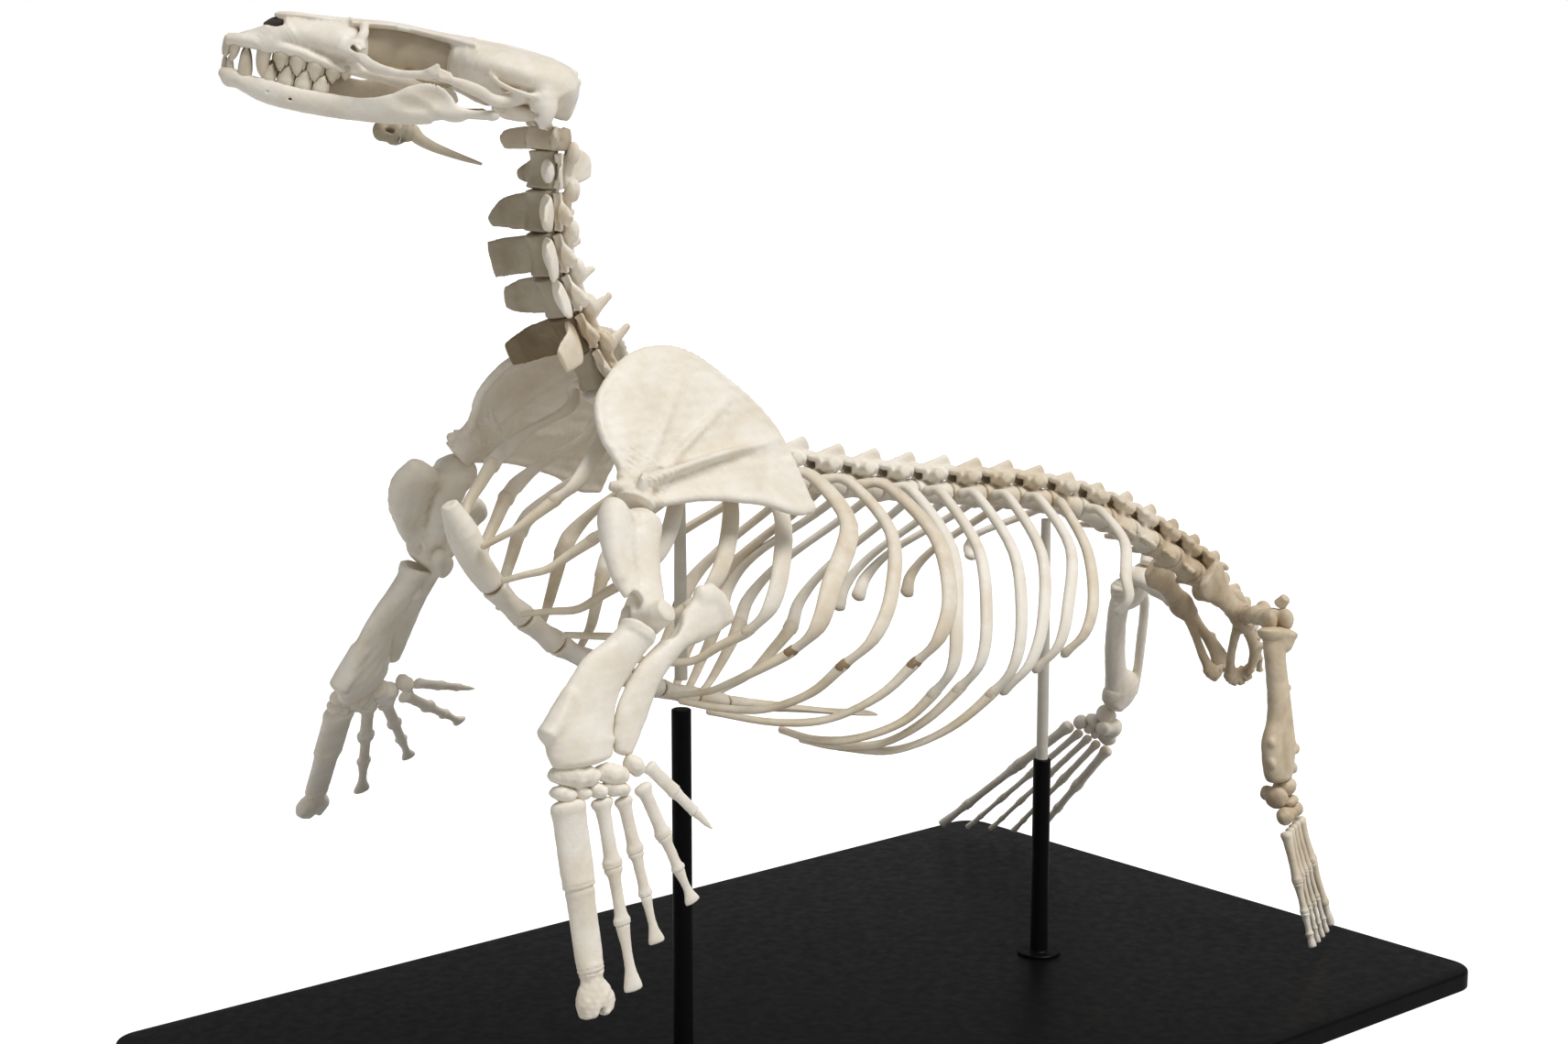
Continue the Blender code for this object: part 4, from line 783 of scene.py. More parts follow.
def add_neck(spine):
    bones = (
        # name, finish of the body, finish of the arch; past the atlas, the darker body finishes are painted
        # shade on the bodies and far plates
        ("atlas", DULL, DULL), ("axis", NECK_SHADE, PALE), ("cervical_3", NECK_SHADE, PALE),
        ("cervical_4", NECK_SHADE, PALE), ("cervical_5", NECK_SHADE, PALE), ("cervical_6", NECK_BROWN_SHADED, WARM),
        ("cervical_7", NECK_SHADE, WARM),
    )
    s = NECK_START
    for i, ((name, body_finish, arch_finish), length) in enumerate(zip(bones, NECK_LENGTHS)):
        place = spine.frame(s + length / 2, math.radians(max(0, 14 - 7 * i)))
        slot = "brown_bone" if i > 4 else "pale_bone"
        if name == "atlas":
            add_bone(name, atlas_bone(place, length), body_finish, [name], slot)
        else:
            body, arch = neck_bone(name, place, length)
            add_bone(name + "_body", body, body_finish, [name], slot)
            add_bone(name + "_arch", arch, arch_finish, [name], slot)
        s += length
    return s


def thorax_length(i):
    """The length of a vertebra of the chest with its gap."""
    return min(0.0298 + 0.0006 * i, 0.033)


def trunk_bone(frame, length, wide, deep, blade, *pairs):
    """A vertebra of the chest or loin, with the rows of its blade and of what grows on both sides."""
    half = length / 2
    roof = deep + 0.004
    bone = Bone(frame, CELL, 0.002)
    bone.tube([(half - 0.0013, 0, 0, wide, deep), (half * 0.35, 0.0005, 0, wide * 0.84, deep * 0.84),
               (-half * 0.35, 0.0005, 0, wide * 0.84, deep * 0.84), (-half + 0.0016, 0, 0, wide, deep)],
              SIDEWAYS, cap=0.06)
    bone.tube([(half * 0.66, roof, 0, 0.0088, 0.0046), (0, roof + 0.0004, 0, 0.008, 0.0052),
               (-half * 0.62, roof + 0.0006, 0, 0.0084, 0.0046)], SIDEWAYS, cap=0.3)
    bone.tube(blade, FORE_AFT)
    for pair in pairs:
        for rows in outward_pair(pair):
            bone.tube(rows, FORE_AFT)
    for side in (1, -1):
        bone.ball((half * 0.98, roof + 0.003, side * 0.0062), (0.0058, 0.0026, 0.0034))
        bone.ball((-half * 0.95, roof + 0.0044, side * 0.005), (0.0056, 0.0026, 0.0032))
    rear, high = -half - 0.001, deep + 0.0012
    bone.hole((rear, high, -0.03), (rear, high, 0.03), 0.0036, 0.0028, FORE_AFT, 0.0012)
    bone.hole((-half * 1.5, deep + 0.003, 0), (half * 1.5, deep + 0.003, 0), 0.0048, 0.0036, SIDEWAYS)
    return bone


def add_thorax(spine, start):
    """The chest's vertebrae, and where each rib's head sits."""
    heads = []
    s = start + GAP / 2
    for i in range(THORAX_COUNT):
        length = thorax_length(i)
        rise = np.interp(i, (0, 2, 6, 14), (0.017, 0.019, 0.014, 0.011))
        lean = np.interp(i, (0, 4, 9, 14), (0.006, 0.014, 0.016, 0.008))
        blade = [(length * 0.08, 0.01, 0, length * 0.33, 0.0052),
                 (-lean * 0.45, 0.01 + rise * 0.55, 0, length * 0.23, 0.003),
                 (-lean, 0.0095 + rise, 0, length * 0.16, 0.0024)]
        knob = [(length * 0.1, 0.0125, 0.007, 0.0056, 0.0046),
                (length * 0.12, 0.014, 0.0165 - 0.0003 * i, 0.0046, 0.0042)]
        bone = trunk_bone(spine.frame(s + length / 2), length, 0.0108, 0.0092, blade, knob)
        finish = WARM if i > 9 else PALE
        add_bone(f"thoracic_{i + 1}", bone, finish, ["rib_cage_left", "rib_cage_right"])
        heads.append(spine.place(s + length * 0.12))
        s += length
    return heads, s


def add_lumbar(spine, start):
    s = start + GAP / 2
    blade = mm((3, 10, 0, 9.5, 6.2), (-2, 16.5, 0, 7.2, 3.2), (-7.5, 24, 0, 5, 2.8))
    for i in range(LUMBAR_COUNT):
        knob = mm((8.5, 13, 6, 5.2, 4), (10.5, 16.5, 10, 4, 3.4))
        wing = [(-0.002, 0.000, 0.006, 0.0072, 0.0034),
                (0.003, -0.0035, 0.017 - 0.0012 * i, 0.0048, 0.0022),
                (0.007, -0.006, 0.0262 - 0.0027 * i, 0.0032, 0.0018)]
        bone = trunk_bone(spine.frame(s + LUMBAR_LENGTH / 2), LUMBAR_LENGTH, 0.0118, 0.01, blade, knob,
                          wing)
        add_bone(f"lumbar_{i + 1}", bone, BROWN if i > 1 else WARM, ["lumbar_vertebrae"], "brown_bone")
        s += LUMBAR_LENGTH
    return s


def add_sacrum(spine, start):
    middle = spine.frame(start + SACRUM_LENGTH / 2)
    bone = Bone(WORLD, CELL, 0.002)
    sections = ((0.02, 0.0118, 0.0095), (0.16, 0.0104, 0.008), (0.32, 0.0118, 0.0086),
                (0.48, 0.0092, 0.0066), (0.64, 0.009, 0.0072), (0.8, 0.0066, 0.0056), (0.97, 0.0068, 0.006))
    rows = [(*spine.place(start + part * SACRUM_LENGTH), wide, deep) for part, wide, deep in sections]
    bone.tube(rows, middle.axes[2], cap=0.1)
    for part in (0.16, 0.48, 0.8):
        frame = spine.frame(start + (part + 0.04) * SACRUM_LENGTH)
        bone.tube(frame.rows([(0.002, 0.006, 0, 0.008, 0.0052),
                              (-0.003, 0.0165 - 0.005 * part, 0, 0.0046, 0.0026)]), frame.axes[0])
        for side in (1, -1):
            bone.tube(frame.rows([(-0.009, 0.016, side * 0.0075, 0.0016, 0.0016),
                                  (-0.009, -0.01, side * 0.0085, 0.0016, 0.0016)]), frame.axes[0], 1, 0.001,
                      cut=True)
    frame = spine.frame(start + 0.22 * SACRUM_LENGTH)
    for rows in outward_pair(mm((0, 0, 5, 11.5, 6.2), (0, -1, 18.5, 8.8, 7))):
        bone.tube(frame.rows(rows), frame.axes[0])
    add_bone("sacrum", bone, BROWN, ["sacrum"], "brown_bone")
    return start + SACRUM_LENGTH


def add_tail(spine, start):
    step = TAIL_LENGTH / TAIL_COUNT
    bone = Bone(WORLD, CELL * 0.8, 0.0006)
    for i in range(TAIL_COUNT):
        size = 0.0064 * (1 - 0.14 * i)
        frame = spine.frame(start + (i + 0.5) * step)
        rows = []
        for part, fuller in ((0.07, 1.0), (0.3, 0.76), (0.62, 0.72), (0.91, 0.98)):
            rows.append((*spine.place(start + (i + part) * step), size * fuller * 1.25, size * fuller))
        bone.tube(rows, frame.axes[2], cap=0.08)
        if i < 3:
            bone.ball(frame.at(0.001, size * 1.0, 0), (size * 0.5, size * 0.4, size * 0.5))
    add_bone("tail_bones", bone, BROWN, ["tail_vertebrae"], "brown_bone")


# ---- The ribs and the breastbone ----

# Where chosen ribs run: the rib's number, x below its bend and low on its side, the chest's half-width
# there, and x, half-width and z of its bony end. The right side is given before its lift.
FRONT_RIBS = (
    (1, -0.205, -0.234, 0.036, -0.262, 0.032, 0.4),
    (3, -0.172, -0.195, 0.062, -0.225, 0.056, 0.352),
    (5, -0.098, -0.122, 0.08, -0.148, 0.073, 0.312),
    (6, -0.042, -0.085, 0.086, -0.117, 0.077, 0.295),
)
RIB_KEYS = {
    "left": FRONT_RIBS + (
        (7, -0.01, -0.037, 0.09, -0.077, 0.081, 0.281),
        (8, 0.026, 0.012, 0.093, -0.018, 0.084, 0.274),
        (9, 0.042, 0.017, 0.094, 0.000, 0.084, 0.252),
        (10, 0.067, 0.045, 0.094, 0.023, 0.084, 0.2515),
        (11, 0.101, 0.079, 0.093, 0.0535, 0.084, 0.2435),
        (12, 0.13, 0.102, 0.091, 0.067, 0.082, 0.243),
        (13, 0.161, 0.128, 0.089, 0.099, 0.081, 0.253),
        (14, 0.178, 0.156, 0.086, 0.129, 0.079, 0.259),
        (15, 0.223, 0.197, 0.078, 0.191, 0.072, 0.279),
    ),
    "right": FRONT_RIBS + (
        (7, -0.01, -0.037, 0.09, -0.077, 0.081, 0.281),
        (8, 0.015, -0.01, 0.093, -0.055, 0.084, 0.278),
        (9, 0.03, -0.007, 0.094, -0.039, 0.084, 0.271),
        (10, 0.053, 0.017, 0.094, -0.023, 0.084, 0.2605),
        (11, 0.092, 0.061, 0.093, 0.024, 0.084, 0.2515),
        (12, 0.13, 0.102, 0.091, 0.067, 0.082, 0.261),
        (13, 0.157, 0.12, 0.089, 0.085, 0.081, 0.266),
        (14, 0.178, 0.156, 0.086, 0.131, 0.079, 0.263),
        (15, 0.223, 0.197, 0.078, 0.189, 0.072, 0.284),
    ),
}
# The rib's number, then x, half-width and z of four places along its cartilage.
FRONT_CARTILAGES = (
    (1, -0.2735, 0.029, 0.3925, -0.285, 0.026, 0.385, -0.2925, 0.019, 0.3795, -0.3, 0.0125, 0.374),
    (3, -0.2375, 0.047, 0.343, -0.25, 0.038, 0.334, -0.261, 0.025, 0.332, -0.272, 0.0125, 0.33),
    (5, -0.1615, 0.0615, 0.3025, -0.175, 0.05, 0.293, -0.1935, 0.032, 0.2935, -0.212, 0.013, 0.296),
    (6, -0.138, 0.064, 0.2825, -0.1465, 0.053, 0.2755, -0.1535, 0.04, 0.269, -0.161, 0.013, 0.2625),
)
CARTILAGE_KEYS = {
    "left": FRONT_CARTILAGES + (
        (7, -0.0925, 0.068, 0.2635, -0.115, 0.05, 0.2535, -0.1355, 0.03, 0.254, -0.1525, 0.013, 0.258),
        (8, -0.039, 0.074, 0.2545, -0.068, 0.058, 0.241, -0.0985, 0.04, 0.2405, -0.13, 0.013, 0.2475),
        (9, -0.0185, 0.074, 0.234, -0.046, 0.06, 0.225, -0.0705, 0.048, 0.226, -0.091, 0.038, 0.234),
        (10, 0.002, 0.074, 0.2315, -0.0215, 0.06, 0.218, -0.0525, 0.05, 0.219, -0.079, 0.044, 0.227),
        (11, 0.0315, 0.074, 0.225, 0.0075, 0.064, 0.214, -0.0175, 0.056, 0.211, -0.0525, 0.05, 0.2185),
    ),
    "right": FRONT_CARTILAGES + (
        (7, -0.0945, 0.072, 0.268, -0.1145, 0.06, 0.2565, -0.1325, 0.036, 0.2555, -0.152, 0.013, 0.2585),
        (8, -0.0715, 0.073, 0.267, -0.092, 0.058, 0.2595, -0.1135, 0.038, 0.2545, -0.138, 0.013, 0.2555),
        (9, -0.056, 0.074, 0.26, -0.077, 0.059, 0.254, -0.102, 0.038, 0.251, -0.129, 0.014, 0.252),
        (10, -0.0395, 0.074, 0.253, -0.0605, 0.06, 0.248, -0.0865, 0.04, 0.2465, -0.116, 0.018, 0.248),
        (11, -0.002, 0.074, 0.2435, -0.031, 0.062, 0.2375, -0.0675, 0.044, 0.24, -0.104, 0.024, 0.2445),
    ),
}
RIB_LIFT = {"left": 0.0, "right": 0.014}  # the ribs of the right side end this much higher
RIBS_WITH_CARTILAGE = 11
RIB_ACROSS = (1, 0, 0.2)  # the way in which a rib is wide
# Sixtieths of a rib's bony length from its head, half-width, half-thickness.
RIB_SIZES = (
    (0, 0.0036, 0.0036), (4, 0.0027, 0.0028), (10, 0.0042, 0.0038), (15, 0.0036, 0.0032),
    (22, 0.0041, 0.003), (34, 0.0048, 0.0026), (48, 0.005, 0.0025), (56, 0.0047, 0.0026),
    (60, 0.0052, 0.0032),
)
# How much wider than that the middle of a rib is: rib numbers, then shares.
RIB_FULLNESS = ((1, 3, 5, 6, 7, 8, 10, 15), (1.0, 1.1, 1.25, 1.4, 1.05, 1.2, 0.95, 0.9))
WARM_RIBS = (4, 6, 7, 8, 14)
DARK_RIB_ENDS = (6, 7, 8)


def between_keys(keys, number):
    """The values of a rib, read between the ribs that the table holds."""
    keys = np.array(keys, float)
    return np.array([np.interp(number, keys[:, 0], column) for column in keys[:, 1:].T])


def rib_course(number, head, side):
    """Points of a rib from its head to its bony end, then of its cartilage."""
    bend_x, low_x, wide, end_x, end_w, end_z = between_keys(RIB_KEYS[side], number)
    sign = SIDES[side]
    lift = RIB_LIFT[side]
    x, _, z = head
    depth = z - end_z
    course = ((bend_x * 0.85 + low_x * 0.15, wide * 0.64, 0.28), (low_x, wide * 0.92, 0.6),
              (low_x * 0.45 + end_x * 0.55, wide, 0.84), (end_x, end_w, 1.0))
    bony = [(x, MID_Y + sign * 0.0075, z + 0.0008),
            (x * 0.86 + bend_x * 0.14, MID_Y + sign * 0.0135, z + 0.0018),
            (x * 0.4 + bend_x * 0.6, MID_Y + sign * 0.0245, z + 0.0004)]
    bony += [(rib_x, MID_Y + sign * out, z - depth * down + lift * down) for rib_x, out, down in course]
    soft = []
    if number <= RIBS_WITH_CARTILAGE:
        places = between_keys(CARTILAGE_KEYS[side], number).reshape(-1, 3)
        for k, (place_x, out, place_z) in enumerate(places):
            soft.append((place_x, MID_Y + sign * out, place_z + lift * (3 - k) / 4))
    return bony, soft


def add_ribs(heads):
    for side in SIDES:
        node = ["rib_cage_" + side]
        for i, head in enumerate(heads):
            number = i + 1
            bony, soft = rib_course(number, head, side)
            whole = curve(bony + soft, 10)
            last = 10 * (len(bony) - 1)
            bony_line, soft_line = whole[:last + 1], whole[last:]
            marks, half_widths, half_thicks = np.array(RIB_SIZES, float).T
            steps = np.arange(len(bony_line)) * marks[-1] / last
            full = np.interp(number, *RIB_FULLNESS)
            fuller = np.interp(steps, (10, 25, 50, 60), (1, full, full, 1))
            wide = np.interp(steps, marks, half_widths) * fuller
            thick = np.interp(steps, marks, half_thicks)
            rows = np.column_stack([bony_line, wide, thick])[::2]
            finish = WARM if number in WARM_RIBS else PALE
            end_finish = DARK_END if number in DARK_RIB_ENDS else WARM
            add_loft(f"rib_{number}_{side}", rows, RIB_ACROSS, finish, node)
            if not soft:
                tip = bony_line[-1] + unit(bony_line[-1] - bony_line[-4]) * 0.0012
                knob = [(*bony_line[-1], 0.0046, 0.003), (*tip, 0.004, 0.0026)]
                add_loft(f"rib_end_{number}_{side}", knob, RIB_ACROSS, end_finish, node)
                continue
            count = len(soft_line)
            size = np.interp(np.arange(count) / (count - 1), (0, 0.08, 0.4, 0.8, 1),
                             (1.15, 1.05, 0.84, 0.66, 0.6))
            rows = np.column_stack([soft_line, 0.0042 * size, 0.0031 * size])[::2]
            band = curve([tuple(bony_line[-2]), tuple(bony_line[-1]), tuple(soft_line[1])], 1)
            ring = [(*place, wide[-1] * 1.02, 0.0034) for place in band]
            add_loft(f"cartilage_{number}_{side}", rows, RIB_ACROSS, CARTILAGE, node)
            add_loft(f"rib_end_{number}_{side}", ring, RIB_ACROSS, end_finish, node)


# X, z, half-width, half-depth of each bone from its front to its rear.
STERNUM_BONES = (
    mm((-315, 399, 4.8, 5.6), (-306, 381, 9.5, 9.8), (-296.5, 362, 7.8, 9.2), (-286, 348, 8.8, 7.8)),
    mm((-284, 345.5, 9, 8), (-274, 335, 6.8, 6.6), (-264, 325.8, 8.6, 7.8)),
    mm((-261.5, 323.5, 8.6, 7.8), (-251, 314.5, 6.6, 6.2), (-240.5, 306.5, 9, 7.8)),
    mm((-237.8, 304.5, 9, 7.6), (-227, 298, 6.4, 6), (-215, 291.5, 8.6, 7)),
    mm((-212.2, 290, 8.6, 7), (-201, 284, 6.2, 5.8), (-188, 277.5, 8.6, 7)),
    mm((-185, 276.2, 8.6, 6.8), (-173, 270.8, 6, 5.4), (-161, 265.5, 8.4, 6.6)),
    mm((-158, 264.5, 8.2, 6.4), (-147, 260.5, 5.8, 5.2), (-133, 256, 8.2, 6.4)),
    mm((-130, 255, 7.8, 6), (-120, 252, 5.6, 4.8), (-107, 248.2, 6.8, 5.2)),
    mm((-104, 247.5, 6, 4.4), (-80, 241.8, 5, 3.6), (-56, 236.2, 5.4, 3.2)),
)


def add_sternum():
    for i, rows in enumerate(STERNUM_BONES):
        bone = Bone(WORLD, CELL, 0.0015)
        bone.tube([(x, MID_Y, z, wide, deep) for x, z, wide, deep in rows], ACROSS, cap=0.12)
        add_bone(f"sternum_{i + 1}", bone, PALE if i < 7 else WARM, ["sternum"])
        if i:
            ends = (STERNUM_BONES[i - 1][-1], rows[0])
            disc = [(x, MID_Y, z, rows[0][2] * 0.78, rows[0][3] * 0.78) for x, z, *_ in ends]
            add_loft(f"sternum_disc_{i}", disc, ACROSS, DARK_END, ["sternum"], 16)
    plate = [(-0.057, MID_Y, 0.2363, 0.0052, 0.0028), (-0.035, MID_Y, 0.2315, 0.0058, 0.0022),
             (-0.012, MID_Y, 0.2264, 0.008, 0.0018), (0.006, MID_Y, 0.223, 0.0104, 0.0016),
             (0.021, MID_Y, 0.2202, 0.0088, 0.0014)]
    add_loft("sternum_tip", plate, ACROSS, CARTILAGE, ["sternum"], 20, 6)


# ---- The head ----


def skull_frame():
    """Axes to the front, to the animal's left and to the top of the head."""
    forward = unit((-math.cos(SKULL_YAW) * math.cos(SKULL_PITCH),
                    math.sin(SKULL_YAW) * math.cos(SKULL_PITCH), math.sin(SKULL_PITCH)))
    left = unit((-math.sin(SKULL_YAW), -math.cos(SKULL_YAW), 0))
    return Frame(SKULL_PLACE, forward, left, np.cross(forward, left))


HEAD = skull_frame()

# Distance in front of the condyles, half-width, bottom, top.
BRAINCASE = mm(
    (-14, 13, 13.5, 26.5), (-10.5, 24, 7.5, 31.5), (-4, 31.5, 4, 34.5), (6, 36.5, 2, 36.5),
    (20, 38.8, 6, 37.2), (34, 37.5, 8, 37.2), (45, 33.5, 8.5, 37), (53, 27.5, 9, 36.8), (59, 20, 9.5, 36.6),
)
# Distance in front of the condyles, middle height, half-width, half-thickness.
ROOF = mm(
    (50, 33.5, 25, 4), (60, 34.2, 17, 3.4), (70, 34.8, 12.2, 2.8), (80, 35.2, 10.6, 2.4),
    (90, 35.4, 10.6, 2.3), (100, 34.8, 11.8, 2.4), (110, 33.4, 14, 2.6), (120, 31.8, 15, 2.8),
)
SNOUT = mm(
    (113, 16.5, 5, 33), (118, 20, 3.6, 33), (126, 20.6, 3.2, 32), (136, 19, 4.5, 30.8),
    (148, 17, 6.6, 29.6), (156, 16, 6.8, 28.2), (164, 15, 6.8, 24.4), (172, 13.2, 6.6, 18.2),
    (180, 10.6, 6.2, 13.6), (186.5, 8, 6, 10.4),
)


def upright_rows(rows):
    """Rows of distance, half-width, bottom and top as tube rows across the head."""
    return [(x, 0, (low + high) / 2, wide, (high - low) / 2) for x, wide, low, high in rows]


def add_cheek(bone, side):
    """The cheekbone, from the side of the snout to the root in front of the ear."""
    front = mm((124, 19, 16.5, 4, 6), (116.5, 24.5, 14, 2.6, 5.6), (108, 32.5, 10.2, 2.2, 4),
               (98, 38.8, 9, 1.9, 2.8), (87.8, 42.5, 9.2, 1.7, 2.2), (77, 45.5, 11.2, 1.7, 2.6),
               (69, 47.4, 13.4, 1.6, 2.8), (62, 48, 13.6, 1.4, 1.8), side=side)
    bone.tube(front, ACROSS, 4, 0.0024)
    spike = mm((72.2, 47, 12.6, 1.4, 4.2), (70.8, 47.4, 16.2, 1.2, 2.6), (70.3, 47.8, 18.6, 0.7, 1.1),
               side=side)
    bone.tube(spike, ACROSS, 4, 0.0016)
    rear = mm((68, 48.6, 11.2, 1.5, 1.4), (60, 48.8, 10.8, 1.8, 2.6), (52, 47.8, 9.8, 2, 3.4),
              (44, 45.4, 8, 2.2, 3.6), (37, 41.5, 5.5, 2.8, 3.4), (31, 36.5, 5.2, 4.2, 3.8),
              (25, 32, 8, 6, 5), (19, 30, 12, 6, 6), side=side)
    bone.tube(rear, ACROSS, 4, 0.0022)


def add_face(bone, side):
    """The rims of the orbit, the tooth-bearing edge, the canine root and the nasal bone of one side."""
    rim = mm((113, 13, 32.2, 2.2, 2), (112.8, 18.5, 27.5, 1.8, 2.8), (114, 20.8, 22.5, 1.8, 3),
             (112, 22.5, 18.5, 1.8, 2), side=side)
    bone.tube(rim, ACROSS, 4, 0.0022)
    bone.balls(mm((116.5, 21.2, 20.5, 4, 2.2, 2.2), side=side), 0.002)
    edge = mm((186.2, 5.5, 8.8, 4, 3.4), (176.5, 9.4, 9.5, 4.4, 3.6), (165, 11.6, 9.8, 4.4, 3.6),
              (150, 14, 9.6, 4.4, 3.4), (136, 15.8, 7.6, 4.2, 3.3), (123, 17.2, 6, 3.6, 3),
              (112, 17.2, 6.6, 3, 2.8), side=side)
    bone.tube(edge, ACROSS, 4, 0.003)
    bone.tube(mm((166.5, 12.8, 8, 3.6, 3.4), (161, 13.8, 15, 3, 4), (154, 13.8, 20.5, 1.6, 3), side=side),
              ACROSS, 4, 0.004)
    nasal = mm((162.8, 3.8, 27.8, 2.6, 1), (159, 4.4, 28.8, 3.8, 1.4), (150, 5, 30, 4.4, 1.6),
               (136, 4.8, 31.2, 4.4, 1.4), (122, 4.2, 32.6, 4, 1.4), side=side)
    bone.tube(nasal, ACROSS, 4, 0.003)
    bone.tube(mm((93, 9, 34.6, 3, 1.4), (88, 11.2, 34.6, 2.2, 1.2), side=side), FORE_AFT, 3, 0.002)


def add_skull_base(bone, side):
    """The palate's edge, the mastoid, the ear capsule and the condyle of one side."""
    bone.tube(mm((118, 12, 6.2, 5, 3.2), (95, 10.5, 5.8, 3.6, 4.2), (76, 10, 5.2, 2, 5.2),
                 (60, 11, 3, 1.5, 4.8), (54, 11.5, -1, 1, 2.6), side=side), ACROSS, 4, 0.003)
    bone.tube(mm((7, 30, 13, 8.5, 9), (5.5, 35, 6, 7.8, 7), (4.5, 37.2, 0, 5, 4.6),
                 (4.2, 37.2, -4.8, 2.2, 2.2), side=side), FORE_AFT, 4, 0.003)
    ridge = mm((-14, 6, 25.5, 1.8, 2), (-8.5, 22, 21.5, 1.8, 2.2), (0, 32.5, 15, 1.8, 2.4),
               (13, 38.5, 11.8, 1.6, 1.6), (30, 38.5, 14, 1.4, 1.4), (40, 35, 19, 1.2, 1), side=side)
    bone.tube(ridge, UPWARD, 5, 0.0028)
    bone.tube(mm((4, 20, 1, 4.2, 3.6), (-1, 22.5, -4, 2.6, 2.6), side=side), FORE_AFT, 3, 0.003)
    bone.balls(mm((19, 19.5, 1.5, 11.5, 7.8, 5.6), side=side), 0.003)
    bone.tube(mm((-5, 10.5, 9, 5, 6.6), (-12.5, 10, 7, 4.4, 5.4), side=side), ACROSS, 3, 0.0025)


def cut_openings(bone, side):
    """The hollows and holes of one side."""
    under_cheek = mm((140, 23.5, 13, 5, 3), (130, 25, 11, 7.4, 4.4), (118, 26.5, 7.8, 9.4, 4.6),
                     (106, 29, 1.8, 11, 4), side=side)
    bone.tube(under_cheek, ACROSS, 4, 0.0022, cut=True)
    bone.tube(mm((126, 24.5, 9, 2.2, 2.2), (108, 20, 7.2, 2.4, 2.4), side=side), ACROSS, 1, 0.001, cut=True)
    slit = mm((118.2, 22.5, 18.6, 5, 1.4), (115, 22.5, 16.8, 6, 1.2), (109.5, 22.5, 16.4, 7, 1.3),
              (104.6, 23, 14, 6, 0.8), side=side)
    bone.tube(slit, ACROSS, 4, 0.0008, cut=True)
    bone.balls(mm((11, 40, 2, 3, 11, 1.6), (29, 33, 0, 3.4, 11, 1.8), (26.2, 33, -3, 2.4, 11, 1.6),
                  (4, 13, -1, 2, 2.2, 3), side=side), 0.001, cut=True)


def add_orbit_walls():
    """The thin inner walls of the two orbits, coloured darker than the rest of the skull as painted shade."""
    bone = Bone(HEAD, FINE_CELL, 0.003, 0.00018)
    rows = mm((56, 0, 21.5, 15, 13), (64, 0, 21.2, 11, 14), (74, 0, 21, 8.2, 14.5), (86, 0, 20.5, 7, 15),
              (100, 0, 20.5, 7.6, 14.5), (110, 0, 20.5, 10, 13.5), (116, 0, 20.5, 13, 12.5))
    bone.tube(rows, ACROSS, 4, cap=0.2)
    bone.tube(mm((60, 0, 8.5, 14, 3.6), (80, 0, 7.8, 12, 3.6), (100, 0, 7.5, 13, 3.4),
                 (116, 0, 7.8, 15, 3.4)), ACROSS, 4)
    for side in (1, -1):
        bone.balls(mm((83.5, 11, 11.8, 3.6, 6, 1.7), (69, 13, 13, 2.2, 6, 1.8), side=side), 0.0008,
                   cut=True)
    add_bone("orbit_walls", bone, ORBIT_SHADE, ["skull"])


def add_skull():
    bone = Bone(HEAD, FINE_CELL, 0.003, 0.00018)
    bone.tube(upright_rows(BRAINCASE), ACROSS, 9, cap=0.35)
    bone.tube([(x, 0, z, wide, thick) for x, z, wide, thick in ROOF], ACROSS, 9, 0.003, cap=0.5)
    bone.tube(upright_rows(SNOUT), ACROSS, 9, 0.003, cap=0.4)
    bone.tube(mm((-13, 0, 28.5, 2, 3), (20, 0, 36.2, 1.4, 1.8), (50, 0, 36.2, 1.4, 1.6)), ACROSS, 4, 0.002)
    for side in (1, -1):
        add_cheek(bone, side)
        add_face(bone, side)
        add_skull_base(bone, side)
    bone.tube(mm((180, 0, 21.5, 8, 5.2), (170, 0, 22.2, 8.4, 5.2), (162, 0, 22.2, 8, 4.8),
                 (150, 0, 21, 6.6, 4.6)), ACROSS, 4, 0.0012, cut=True)
    for side in (1, -1):
        bone.tube(mm((172, 11, 26.2, 6, 3), (164, 11, 24.2, 6, 3.6), (158.5, 11, 24.5, 5, 2.2), side=side),
                  ACROSS, 4, 0.0014, cut=True)
        cut_openings(bone, side)
    bone.tube(mm((170, 0, 3, 7, 2.2), (130, 0, 1, 10.4, 4), (95, 0, 0.6, 7.8, 3.4), (60, 0, 1, 7.6, 6),
                 (42, 0, 1, 8.6, 4)), ACROSS, 3, 0.0022, cut=True)
    bone.tube(mm((-26, 0, 12, 8, 6.8), (16, 0, 14, 9, 7)), ACROSS, 1, 0.0014, cut=True)
    add_bone("skull_bone", bone, PALE, ["skull"])
    # A dark sheet inside the nose opening, as painted shadow where the opening falls into shade.
    shadow_fill = Bone(HEAD, FINE_CELL, 0.002, 0.0001)
    shadow_fill.tube(mm((167.2, 0, 19.6, 6.8, 3), (161.8, 0, 22.6, 7.8, 4.2), (156, 0, 25.4, 8, 2.2)), ACROSS, 5)
    add_bone("nose_shadow_fill", shadow_fill, NOSE_SHADOW_FILL, ["skull"])


TOOTH_ROOT = 0.0022  # how deep a tooth sits in the bone


